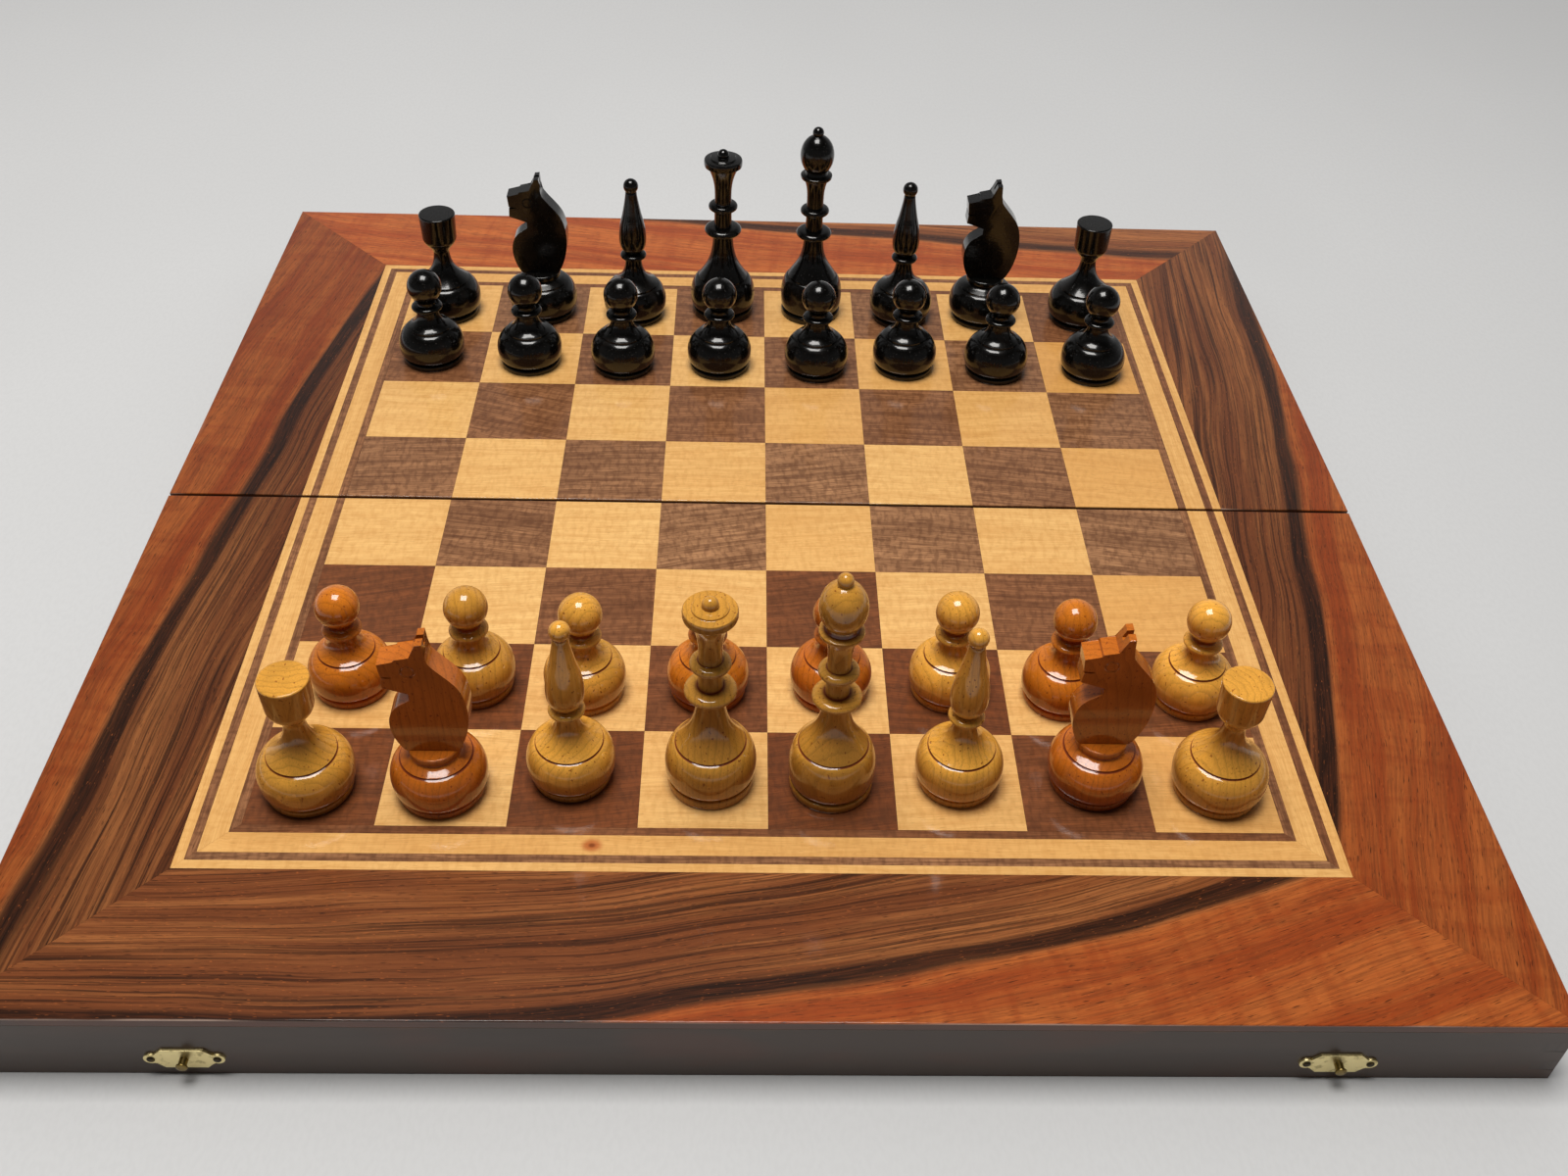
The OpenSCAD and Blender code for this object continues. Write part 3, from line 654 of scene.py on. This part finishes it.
def lay_squares(solids, half, parity, spread):
    """Lays the squares of one colour, each cut from its own place in the sheet of veneer."""
    board = bpy.context.scene.chess_board
    way, side, glue = facing(half), board.square_side, board.glue_line / 2
    for file in range(8):
        for row in range(4):
            if (file + row + (half == "front")) % 2 != parity:
                continue
            rng = random.Random(f"{half} {file} {row}")
            x0 = (file - 4) * side + glue
            y0 = max(FOLD_FACE, row * side - board.saw_kerf / 2 + glue)
            y1 = (row + 1) * side - board.saw_kerf / 2 - glue
            x1 = x0 + side - 2 * glue
            outline = [(x0, way * y0), (x1, way * y0), (x1, way * y1), (x0, way * y1)]
            shift = rng.uniform(0, 900), rng.uniform(0, 400)
            tone = RANK_TONE[parity][4 + row if half == "rear" else 3 - row] + rng.uniform(-0.15, 0.15)
            tone -= 0.3 * (parity == 1 and file == 7)  # the light squares of the last file are deeper
            lay(solids, outline, along((0, 0), rng.gauss(0, spread), shift), min(1.0, max(0.0, tone)))


# Where the border's grain starts, in millimetres from the middle of the board, its heading in degrees, its bow
# per square millimetre, and how pale the strip is from 0 to 1.
BORDER_GRAIN = {
    "front": ((10, -244), 190, 0.00046, 0.5),
    "left": ((-226, 0), 83.3, 0.0001, 0.25),
    "right": ((235, 0), 261, 0.0002, 0.35),
    "rear": ((-100, 258), 172, 0.0001, 0.75),
}


class CHESS_OT_border_veneer(Operator):
    """Border strips, mitred at the corners, with the side strips' figure running on across the fold"""

    bl_idname = "chess.border_veneer"
    bl_label = "Border veneer"

    def execute(self, context):
        board = context.scene.chess_board
        wood = border("Rosewood veneer, sliced and lacquered", board)
        inset = board.inner_line + board.band + board.outer_line + board.edge_line + board.glue_line / 2
        for half in HALVES:
            solids = Solids(HALF[half])
            for side, outline in strip_outlines(half, inset, None).items():
                origin, heading, bow, tone = BORDER_GRAIN[side]
                lay(solids, outline, along(origin, heading, bow=bow), tone, sliced=True)
            solids.make(half + "_border", [wood], half + "_half", "rosewood_veneer", half + "_border_veneer")
        return {"FINISHED"}


class CHESS_OT_light_veneer(Operator):
    """Light squares, the light band and the light edge line"""

    bl_idname = "chess.light_veneer"
    bl_label = "Light veneer"

    def execute(self, context):
        board = context.scene.chess_board
        wood = veneer("Maple veneer, sliced and lacquered", board.maple_pale, board.maple_deep, board.maple_line, 3.2,
                      0.4, knot=(-60, -187, 0))
        for half in HALVES:
            solids = Solids(HALF[half])
            lay_squares(solids, half, 1, 3)
            lay_line(solids, half, board.inner_line, board.band, "band")
            lay_line(solids, half, board.inner_line + board.band + board.outer_line, board.edge_line, "edge")
            solids.make(half + "_light", [wood], half + "_half", "maple_veneer", half + "_light_veneer")
        return {"FINISHED"}


class CHESS_OT_dark_veneer(Operator):
    """Dark squares and the two dark lines"""

    bl_idname = "chess.dark_veneer"
    bl_label = "Dark veneer"

    def execute(self, context):
        board = context.scene.chess_board
        wood = veneer("Walnut veneer, sliced and lacquered", board.walnut_pale, board.walnut_deep, board.walnut_line,
                      2.6, 0.7)
        for half in HALVES:
            solids = Solids(HALF[half])
            lay_squares(solids, half, 0, 7)
            lay_line(solids, half, 0, board.inner_line, "inner")
            lay_line(solids, half, board.inner_line + board.band, board.outer_line, "outer")
            solids.make(half + "_dark", [wood], half + "_half", "walnut_veneer", half + "_dark_veneer")
        return {"FINISHED"}


# ---- box ----


def lengthwise(co):
    """Grain along the bmesh's first axis."""
    return co.x / MM, co.z / MM, co.y / MM


class CHESS_OT_panels(Operator):
    """Plywood panels under the veneer, their sawn edges stained"""

    bl_idname = "chess.panels"
    bl_label = "Panels"

    def execute(self, context):
        board = context.scene.chess_board
        wood = plywood("Birch plywood, sawn", board)

        def edge(co):
            inward = min(HALF_WIDTH - abs(co.x), HALF_DEPTH - abs(co.y), abs(co.y) - FOLD_FACE)
            return 1.0 if inward < 0.01 * MM else 0.0

        for half in HALVES:
            way = facing(half)
            solids = Solids(HALF[half])
            ends = way * FOLD_FACE, way * HALF_DEPTH
            outline = [(-HALF_WIDTH, ends[0]), (HALF_WIDTH, ends[0]), (HALF_WIDTH, ends[1]), (-HALF_WIDTH, ends[1])]
            bm = prism(outline, PANEL[0].z, PANEL[1].z)
            soften(bm, 0.12 * MM)
            solids.take(bm, lambda co: (co.x / MM, co.y / MM, co.z / MM), edge)
            solids.make(half + "_board", [wood], half + "_half", "birch_plywood", half + "_panel")
        return {"FINISHED"}


def comb(start, end, low, high, fingers, notched):
    """Outline of a rail with comb fingers at both ends. Every finger whose number is odd, or even, is cut back."""
    levels = [low + (high - low) * k / fingers for k in range(fingers + 1)]
    right, left = [], []
    for k in range(fingers):
        back = RAIL_THICKNESS if k % 2 == notched else 0
        right += [(end - back, levels[k]), (end - back, levels[k + 1])]
        left += [(start + back, levels[k]), (start + back, levels[k + 1])]
    return right + left[::-1]


class CHESS_OT_rails(Operator):
    """Rails joined at the corners by comb fingers, stained nearly black"""

    bl_idname = "chess.rails"
    bl_label = "Rails"

    def execute(self, context):
        board = context.scene.chess_board
        wood = stained_rail("Beech, stained black and lacquered", board)
        cad_wood = stained_rail("Beech, stained black and lacquered, inside", board, False)
        low, high = RAIL[0].z, RAIL[1].z
        upright = Matrix.Rotation(math.radians(90), 4, "X")
        lengthways = Matrix(((0, 0, 1, 0), (1, 0, 0, 0), (0, 1, 0, 0), (0, 0, 0, 1)))

        def wear(co):
            return max(0.0, 1.0 - min(co.y - low, high - co.y) / (0.4 * MM))

        for half in HALVES:
            way = facing(half)
            outer = comb(-HALF_WIDTH, HALF_WIDTH, low, high, board.fingers, 1)
            depths = sorted((-way * (HALF_DEPTH - RAIL_THICKNESS), -way * HALF_DEPTH))
            bm = prism(outer, *depths)
            soften(bm, 0.14 * MM)
            solids = Solids(HALF[half])
            solids.take(bm, lengthwise, wear, place=upright)
            solids.make(half + "_outer_wall", [wood], half + "_half", "dark_stained_beech", half + "_outer_rail")
            for side, name in zip(SIDES, ("left", "right")):
                end = comb(*sorted((way * FOLD_FACE, way * HALF_DEPTH)), low, high, board.fingers, 0)
                bm = prism(end, *sorted((side * (HALF_WIDTH - RAIL_THICKNESS), side * HALF_WIDTH)))
                soften(bm, 0.14 * MM)
                solids = Solids(HALF[half])
                solids.take(bm, lengthwise, wear, place=lengthways)
                node = f"{half}_{name}_rail"
                solids.make(f"{half}_{name}_wall", [wood], half + "_half", "dark_stained_beech", node)
            repaint(half + "_hinge_rail", cad_wood)
        return {"FINISHED"}


# ---- fittings ----


class CHESS_OT_hinges(Operator):
    """Butt hinges set flush into the rims at the fold"""

    bl_idname = "chess.hinges"
    bl_label = "Hinges"

    def execute(self, context):
        fittings = context.scene.chess_fittings
        brass = metal("Brass, pressed hinge", fittings.brass, fittings.tarnish, 0.3, 2.5)
        steel = metal("Steel, drawn and turned", fittings.steel, fittings.tarnish, 0.35, 1.5)
        for half in HALVES:
            repaint(half + "_hinge_leaves", brass)
            repaint(half + "_hinge_screws", steel)
        repaint("hinge_pins", steel)
        return {"FINISHED"}


def plate_outline(fittings):
    """Oblong with cut corners and a round ear at each end."""
    x, y, cut, ear = fittings.plate_length / 2, fittings.plate_height / 2, fittings.plate_cut, fittings.ear
    middle = x + 0.55 * ear
    turn = math.acos(-0.55)
    right = [(x - cut, -y), (x, cut - y)]
    for k in range(25):
        a = turn * (k / 12 - 1)
        right.append((middle + ear * math.cos(a), ear * math.sin(a)))
    right += [(x, y - cut), (x - cut, y)]
    return right + [(-px, -py) for px, py in right]


class CHESS_OT_latches(Operator):
    """Pressed plates nailed to the outer walls, with the studs in front and the hooks behind"""

    bl_idname = "chess.latches"
    bl_label = "Latches"

    def execute(self, context):
        fittings = context.scene.chess_fittings
        brass = metal("Brass, pressed and dulled", fittings.brass, fittings.tarnish, 0.34, 3.5)
        dark = metal("Brass, turned and darkened", fittings.tarnish, fittings.nail, 0.3, 1.5)
        nails = metal("Steel, blackened nails", fittings.nail, fittings.tarnish, 0.4, 1.2)
        thick = 0.8
        stud = [
            (0, thick), (1.4, thick), (1.4, 3.0), (1.6, 3.1), (1.86, 3.3), (1.9, 3.5), (1.82, 3.75), (1.55, 3.93),
            (1.1, 4.0), (0, 4.0),
        ]
        nail = [(0, thick), (1.3, thick), (1.3, 0.95), (1.18, 1.12), (0.9, 1.24), (0.45, 1.29), (0, 1.3)]
        for half in HALVES:
            turned = 0 if half == "front" else 180
            solids = {name: Solids(HALF[half]) for name in ("plates", "studs", "nails")}
            for side in SIDES:
                foot = (side * fittings.latch_x, facing(half) * HALF_DEPTH, fittings.latch_z)
                wall = (
                    Matrix.Translation(foot)
                    @ Matrix.Rotation(math.radians(turned), 4, "Z")
                    @ Matrix.Rotation(math.radians(90), 4, "X")
                )
                bm = prism(plate_outline(fittings), 0, thick * MM)
                soften(bm, 0.18 * MM, lambda a, b: min(a.z, b.z) > 0.7 * MM)
                solids["plates"].take(bm, lengthwise, place=wall)
                solids["studs"].take(spin(stud, 40), lengthwise, place=wall)
                for way in SIDES:
                    ear = Matrix.Translation((way * (fittings.plate_length / 2 + 0.55 * fittings.ear), 0, 0))
                    solids["nails"].take(spin(nail, 32), lengthwise, place=wall @ ear)
            body = half + "_half"
            if half == "front":
                solids["plates"].make("stud_backs", [brass], body, "brass_fittings", "stud_plates")
                solids["studs"].make("studs", [dark], body, "brass_fittings", "latch_studs")
                solids["nails"].make("stud_back_nails", [nails], body, "brass_fittings", "stud_plate_nails")
            else:
                solids["plates"].make("hook_backs", [brass], body, "brass_fittings", "hook_plates")
                solids["studs"].make("hook_pivots", [dark], body, "brass_fittings", "hook_plates")
                solids["nails"].make("hook_back_nails", [nails], body, "brass_fittings", "hook_plate_nails")
        for node in ("left_hook", "right_hook"):
            repaint(node, brass)
        return {"FINISHED"}


# ---- men ----


def arc(z, r, a0, a1, n=18):
    """Arc about the axis, from one angle to another in degrees."""
    turns = [math.radians(a0 + (a1 - a0) * i / n) for i in range(n + 1)]
    return [(max(0.0, r * math.cos(a)), z + r * math.sin(a)) for a in turns]


def bead(z, inner, outer, h, n=14):
    """Half-round ring of height h."""
    turns = [math.radians(-90 + 180 * i / n) for i in range(n + 1)]
    return [(inner + (outer - inner) * math.cos(a), z + h / 2 * math.sin(a)) for a in turns]


def bend(a, b, c, d, n=20):
    """Smooth curve that leaves a towards b and reaches d from c."""
    points = []
    for i in range(n + 1):
        t, s = i / n, 1 - i / n
        weights = (s * s * s, 3 * s * s * t, 3 * s * t * t, t * t * t)
        points.append(tuple(sum(w * p[k] for w, p in zip(weights, (a, b, c, d))) for k in (0, 1)))
    return points


def egg(z, r, below, above, a0, a1, n=26):
    """Egg about the axis, with its own heights below and above its widest level."""
    turns = [math.radians(a0 + (a1 - a0) * i / n) for i in range(n + 1)]
    return [(r * math.cos(a), z + (below if a < 0 else above) * math.sin(a)) for a in turns]


def foot(plinth_r, belly_r, belly_z, line_r, line_z, plinth_h=2.6):
    """Foot of every man: plinth, cove darkened with painted shade, belly and the incised line above it."""
    top = plinth_h + 0.9
    first = belly_z - (belly_z - top) * 0.45
    return [
        (0, 0.5), (plinth_r - 3, 0.4), (plinth_r - 2.2, 0), (plinth_r - 0.1, 0),
        *bead(plinth_h / 2, plinth_r, plinth_r + 0.5, plinth_h, 8)[1:],
        # painted shade in the cove under the belly, in the groove colour
        (plinth_r - 0.9, plinth_h + 0.2, 0.9), (plinth_r - 1.1, plinth_h + 0.45, 1.0),
        *bend((plinth_r - 0.4, top), (plinth_r + (belly_r - plinth_r) * 0.9, top + 0.3), (belly_r, first),
              (belly_r, belly_z), 14),
        *bend((belly_r, belly_z), (belly_r, (belly_z + line_z) / 2),
              (line_r + (belly_r - line_r) * 0.45, line_z - 0.6), (line_r + 0.3, line_z), 16)[1:],
        (line_r, line_z + 0.12, 0.8), (line_r - 0.4, line_z + 0.25, 1.0), (line_r - 0.45, line_z + 0.7, 1.0),
    ]


# Third numbers: the incised lines are stained; the marks in the coves, at the necks beside the beads and under the
# balls and the egg are painted shade.
PROFILES = {
    "pawn": [
        *foot(13.6, 15.3, 8.8, 10.4, 17.4), *bend((10.2, 18.3), (7.4, 19.4), (5.2, 21.5), (4.9, 26.3)),
        *bead(28.2, 4.6, 7.2, 3), (4.5, 30, 0.6), (4.3, 31, 1.0), (4.6, 32, 0.6), *arc(38.7, 8, -52, 90, 28),
    ],
    "rook": [
        *foot(14.6, 16.7, 9.6, 12.1, 17.6), *bend((11.9, 18.5), (7.6, 22), (4.2, 25), (3.8, 33)),
        *bend((3.8, 33), (4.2, 36.4), (7.6, 37.4), (8.2, 41), 14)[1:], (8.66, 52.5), (8.68, 52.9), (8.55, 53.2),
        (8.3, 53.36), (8.0, 53.4), (0, 53.4),
    ],
    "bishop": [
        *foot(13.4, 15.6, 9.4, 11.9, 17.4), *bend((11.7, 18.3), (7.6, 20.5), (4.2, 23.5), (4, 30.8)),
        *bead(33.4, 4, 6.4, 3), (4.1, 35.2, 1.0), *bend((4.2, 35.6), (7.6, 38), (7.2, 46), (4.6, 55.5)),
        *bend((4.6, 55.5), (3.6, 60.5), (3, 63.5), (2.75, 66.5), 12)[1:], (2.5, 67, 0.8), *arc(69.8, 3.6, -42, 90),
    ],
    "queen": [
        *foot(14.8, 16.1, 10.5, 12.4, 19.5, 3.8), *bend((12.1, 20.4), (8, 26), (5.2, 31), (4.9, 41.8)),
        (4.9, 42.8, 0.8), *bead(45.1, 6, 9, 4), (4.4, 47.3, 0.9), (4.2, 49), (4.2, 54), (4.6, 55.7, 0.8),
        *bead(57.6, 5, 7.1, 3.4), (4.2, 59.5, 0.9), *bend((4.1, 59.9), (3.9, 68), (4.5, 72.5), (7.6, 78)),
        (8.5, 78.3), (9, 78.7), (9.15, 79.3), (9.2, 80.8), (9.1, 81.5), (8.85, 81.9), (8.3, 82.0), (6.4, 82.1),
        (6.2, 82.25, 0.6), (6.15, 82.6), (5.9, 82.8), (3.0, 82.95), (2.75, 83.05, 0.7), *arc(83.9, 2.8, -14, 90),
    ],
    "king": [
        *foot(14.4, 15.3, 11.5, 12.3, 20.6, 3.4), *bend((12, 21.5), (9, 26.5), (5, 30), (4.8, 41.6)),
        *bead(44.2, 6, 8.6, 3.6), (4.3, 46.2, 0.9), (4.15, 48.5), (4.1, 52.5), (4.5, 54.2, 0.8),
        *bead(56.2, 5, 7, 3.4), (4.1, 58.1, 0.9), *bend((4.1, 58.6), (4, 66), (4.3, 69), (6, 73)),
        (7.1, 73.2), (7.45, 73.6), (7.6, 74.3), (7.55, 74.9), (7.2, 75.2), (5.6, 75.7, 0.9), (5.4, 76.4, 1.0),
        *egg(84.9, 8.1, 10.2, 10, -50, 73), *arc(96, 2.7, -32, 90),
    ],
    "knight": [
        *foot(14.6, 16.75, 9.4, 12.6, 17.4), *bend((12.2, 18.3), (10.4, 19.2), (9.2, 19.4), (8.7, 20.3), 12),
        *bead(21.9, 8.7, 9.2, 3, 10)[:-1], (8.5, 23.5), (0, 23.5),
    ],
}

# Sawn outline of the knight's head: nose towards -X, standing on the disc at 0.
HEAD = [
    (-12.7, 35.3), (-13.2, 40.8), (-7.6, 41.9), (-7.3, 43), (-2.2, 43.8), (0.1, 49.5), (2.4, 49.8), (2.6, 45.2),
    *bend((2.8, 42.5), (4.5, 38.5), (9, 35), (11.6, 30.5), 10),
    *bend((11.6, 30.5), (15.6, 23), (14.6, 8.5), (8.6, 0), 22)[1:],
    *bend((-8.6, 0), (-12.8, 5), (-15.6, 18), (-7.5, 22.5), 20),
    (-4.4, 24.3), (-4.4, 27.6), (-12.9, 30.2), (-12.6, 34.5), (-8.8, 34.5), (-8.8, 35.3),
]
EYE = (-3.6, 37.6)
HEAD_THICKNESS = 8.5
DISC = 23.5

# What each white man's lacquer has turned to, and how dark the man is from 0 to 1.
WHITE_LACQUER = {
    "rook_a": ("olive", 0.6), "knight_b": ("russet", 0.5), "bishop_c": ("honey", 0.45), "queen_d": ("olive", 0.3),
    "king_e": ("olive", 0.4), "bishop_f": ("honey", 0.4), "knight_g": ("russet", 0.5), "rook_h": ("olive", 0.7),
    "pawn_a": ("amber", 0.5), "pawn_b": ("olive", 0.5), "pawn_c": ("honey", 0.4), "pawn_d": ("amber", 0.55),
    "pawn_e": ("russet", 0.45), "pawn_f": ("honey", 0.6), "pawn_g": ("amber", 0.55), "pawn_h": ("honey", 0.7),
}


def standing_place(node, half):
    """Middle of a man's foot in its half's own frame."""
    low = own_box(node, half)[0].z
    to_own = HALF[half].inverted()
    sole = [p for p in (to_own @ v.co for v in frame["nodes"][node].data.vertices) if p.z < low + 1e-5]
    middle = [(min(p[i] for p in sole) + max(p[i] for p in sole)) / 2 for i in (0, 1)]
    return Matrix.Translation((*middle, low))


def log_place(seed):
    """Grain of a blank sawn from a log: upright within a few degrees, its pith some way off the axis."""
    rng = random.Random(seed)
    turn = Matrix.Rotation(rng.uniform(0, 2 * math.pi), 3, "Z") @ Matrix.Rotation(math.radians(rng.uniform(3, 11)), 3, "X")
    pith = Vector((rng.uniform(18, 38), 0, rng.uniform(0, 500)))

    def place(co):
        return tuple(turn @ (co / MM) + pith)

    return place


def knight_head():
    """Head sawn from a plank: edges rounded, a ring cut round each eye and the crest slit into two ears."""
    bm = prism([(x * MM, z * MM) for x, z in HEAD], -HEAD_THICKNESS / 2 * MM, HEAD_THICKNESS / 2 * MM)
    soften(bm, 0.25 * MM, lambda a, b: abs(a.z - b.z) < 1e-6)
    cutters = []
    for side in SIDES:
        face, deep = HEAD_THICKNESS / 2, 0.35
        ring = [(1.9, face + 0.3), (1.9, face - deep * 0.4), (2.2, face - deep), (2.35, face - deep),
                (2.6, face - deep * 0.4), (2.6, face + 0.3), (1.9, face + 0.3)]
        cutter = spin(ring, 36)
        bmesh.ops.remove_doubles(cutter, verts=cutter.verts, dist=1e-7)
        turn = Matrix.Rotation(0 if side > 0 else math.pi, 4, "X")
        cutter.transform(Matrix.Translation((EYE[0] * MM, EYE[1] * MM, 0)) @ turn)
        cutters.append(cutter)
    slit = [(-6 * MM, 46.6 * MM), (6 * MM, 46.6 * MM), (6 * MM, 53 * MM), (-6 * MM, 53 * MM)]
    return carve(bm, [*cutters, prism(slit, -0.9 * MM, 0.9 * MM)])


def eye_line(co):
    """1 in the ring round the eye."""
    away = (Vector((co.x, co.y)) / MM - Vector(EYE)).length
    return 1.0 if away < 2.9 and abs(co.z) < (HEAD_THICKNESS / 2 - 0.05) * MM else 0.0


def make_men(kind, files):
    """Turns the men of one kind, white and black, and stands each on its CAD place."""
    men = bpy.context.scene.chess_men
    finished = {tone: lacquered_beech(f"Beech, turned, {tone} lacquer", getattr(men, tone), men.groove_stain_and_shade)
                for tone in sorted({WHITE_LACQUER[f"{kind}_{file}"][0] for file in files})}
    finished["black"] = black_lacquer("Beech, turned, black lacquer", men.black)
    for side, half in (("white", "front"), ("black", "rear")):
        for file in files:
            name = f"{side}_{kind}_{file}"
            tone, depth = WHITE_LACQUER[f"{kind}_{file}"] if side == "white" else ("black", 0.5)
            solids = Solids(HALF[half] @ standing_place(name, half))
            solids.take(spin(PROFILES[kind], men.segments), log_place(name), tone=depth)
            if kind == "knight":
                upright = Matrix.Translation((0, 0, DISC * MM)) @ Matrix.Rotation(math.radians(90), 4, "X")
                plank = log_place(name + " head")
                solids.take(knight_head(), lambda co: plank(Vector((co.x, co.z, co.y))), eye_line, depth - 0.1,
                            place=upright)
            slot = "light_lacquered_beech" if side == "white" else "black_lacquered_beech"
            solids.make(name + "_turned", [finished[tone]], name, slot, name)


class CHESS_OT_pawns(Operator):
    """Sixteen pawns"""

    bl_idname = "chess.pawns"
    bl_label = "Pawns"

    def execute(self, context):
        make_men("pawn", FILES)
        return {"FINISHED"}


class CHESS_OT_rooks(Operator):
    """Four rooks, flat on top, where the end grain shows"""

    bl_idname = "chess.rooks"
    bl_label = "Rooks"

    def execute(self, context):
        make_men("rook", "ah")
        return {"FINISHED"}


class CHESS_OT_knights(Operator):
    """Four knights: a sawn head on a turned foot"""

    bl_idname = "chess.knights"
    bl_label = "Knights"

    def execute(self, context):
        make_men("knight", "bg")
        return {"FINISHED"}


class CHESS_OT_bishops(Operator):
    """Four bishops"""

    bl_idname = "chess.bishops"
    bl_label = "Bishops"

    def execute(self, context):
        make_men("bishop", "cf")
        return {"FINISHED"}


class CHESS_OT_queens(Operator):
    """Two queens"""

    bl_idname = "chess.queens"
    bl_label = "Queens"

    def execute(self, context):
        make_men("queen", "d")
        return {"FINISHED"}


class CHESS_OT_kings(Operator):
    """Two kings"""

    bl_idname = "chess.kings"
    bl_label = "Kings"

    def execute(self, context):
        make_men("king", "e")
        return {"FINISHED"}


# ---- stage ----


class CHESS_OT_stage(Operator):
    """Pale cloth, a softbox overhead, a dim room that is paler behind the board, and the camera"""

    bl_idname = "chess.stage"
    bl_label = "Stage"

    def execute(self, context):
        stage = context.scene.chess_stage
        mesh = bpy.data.meshes.new("cloth")
        mesh.from_pydata([(-1.7, -1.7, 0), (1.7, -1.7, 0), (1.7, 1.7, 0), (-1.7, 1.7, 0)], [], [(0, 1, 2, 3)])
        mesh.materials.append(cloth("Oilcloth, woven and coated", stage.floor))
        ground = bpy.data.objects.new("cloth", mesh)
        context.scene.collection.objects.link(ground)

        lamp = bpy.data.lights.new("softbox", "AREA")
        lamp.shape, lamp.size, lamp.energy = "SQUARE", stage.lamp_side, stage.lamp_power
        lamp.color = linear("#fffcf8")
        softbox = bpy.data.objects.new("softbox", lamp)
        softbox.location = (-0.2, -0.05, stage.lamp_height)
        context.scene.collection.objects.link(softbox)

        world = bpy.data.worlds.new("room")
        world.use_nodes = True
        tree = world.node_tree
        tree.nodes.clear()
        heading = add(tree, "SeparateXYZ", {0: add(tree, "TexCoord").outputs["Generated"]})
        lit = {"Value": heading.outputs[1], "From Min": -0.1, "From Max": 0.9, "To Min": 0.15 * stage.ambient,
               "To Max": 1.8 * stage.ambient}
        wall = {"Value": heading.outputs[1], "From Min": 0.0, "From Max": 0.7, "To Min": 0.1, "To Max": stage.mirror}
        low = {"Value": heading.outputs[2], "From Min": 0.35, "From Max": 0.75, "To Min": 1.0, "To Max": 0.12}
        mirrored = add(tree, "Math", {0: add(tree, "MapRange", wall), 1: add(tree, "MapRange", low)},
                       operation="MULTIPLY")
        path = add(tree, "LightPath").outputs
        room = add(tree, "Mix", {0: path["Is Glossy Ray"], 2: add(tree, "MapRange", lit), 3: mirrored})
        room = add(tree, "Mix", {0: path["Is Camera Ray"], 2: room, 3: 0.6})  # pale wall behind the cloth
        sky = add(tree, "Background", {"Color": [1, 1, 1, 1], "Strength": room})
        add(tree, "OutputWorld", {"Surface": sky})
        context.scene.world = world

        lens = bpy.data.cameras.new("camera")
        lens.lens, lens.sensor_width = stage.lens, 36
        camera = bpy.data.objects.new("camera", lens)
        camera.location, camera.rotation_euler = stage.eye, stage.gaze
        context.scene.collection.objects.link(camera)
        context.scene.camera = camera
        context.scene.view_settings.view_transform = "Standard"
        return {"FINISHED"}


PIECES = (
    CHESS_OT_border_veneer, CHESS_OT_light_veneer, CHESS_OT_dark_veneer, CHESS_OT_panels, CHESS_OT_rails,
    CHESS_OT_hinges, CHESS_OT_latches, CHESS_OT_pawns, CHESS_OT_rooks, CHESS_OT_knights, CHESS_OT_bishops,
    CHESS_OT_queens, CHESS_OT_kings, CHESS_OT_stage,
)
SETTINGS = {
    "chess_board": ChessBoardSettings, "chess_fittings": ChessFittingSettings, "chess_men": ChessMenSettings,
    "chess_stage": ChessStageSettings,
}


class CHESS_PT_sidebar(Panel):
    """Buttons for every piece, and the settings that a user may change"""

    bl_idname = "CHESS_PT_sidebar"
    bl_label = "Chess Set"
    bl_space_type = "VIEW_3D"
    bl_region_type = "UI"
    bl_category = "Chess Set"

    def draw(self, context):
        for piece in PIECES:
            self.layout.operator(piece.bl_idname)
        for name, group in SETTINGS.items():
            box = self.layout.box()
            for field in group.__annotations__:
                box.prop(getattr(context.scene, name), field)


def register():
    for group in SETTINGS.values():
        bpy.utils.register_class(group)
    for name, group in SETTINGS.items():
        setattr(bpy.types.Scene, name, PointerProperty(type=group))
    for piece in (*PIECES, CHESS_PT_sidebar):
        bpy.utils.register_class(piece)


def unregister():
    for piece in (CHESS_PT_sidebar, *reversed(PIECES)):
        bpy.utils.unregister_class(piece)
    for name, group in SETTINGS.items():
        delattr(bpy.types.Scene, name)
        bpy.utils.unregister_class(group)


def main():
    register()
    for piece in PIECES:
        family, name = piece.bl_idname.split(".")
        getattr(getattr(bpy.ops, family), name)()
    bpy.context.view_layer.update()


if __name__ == "__main__":
    main()
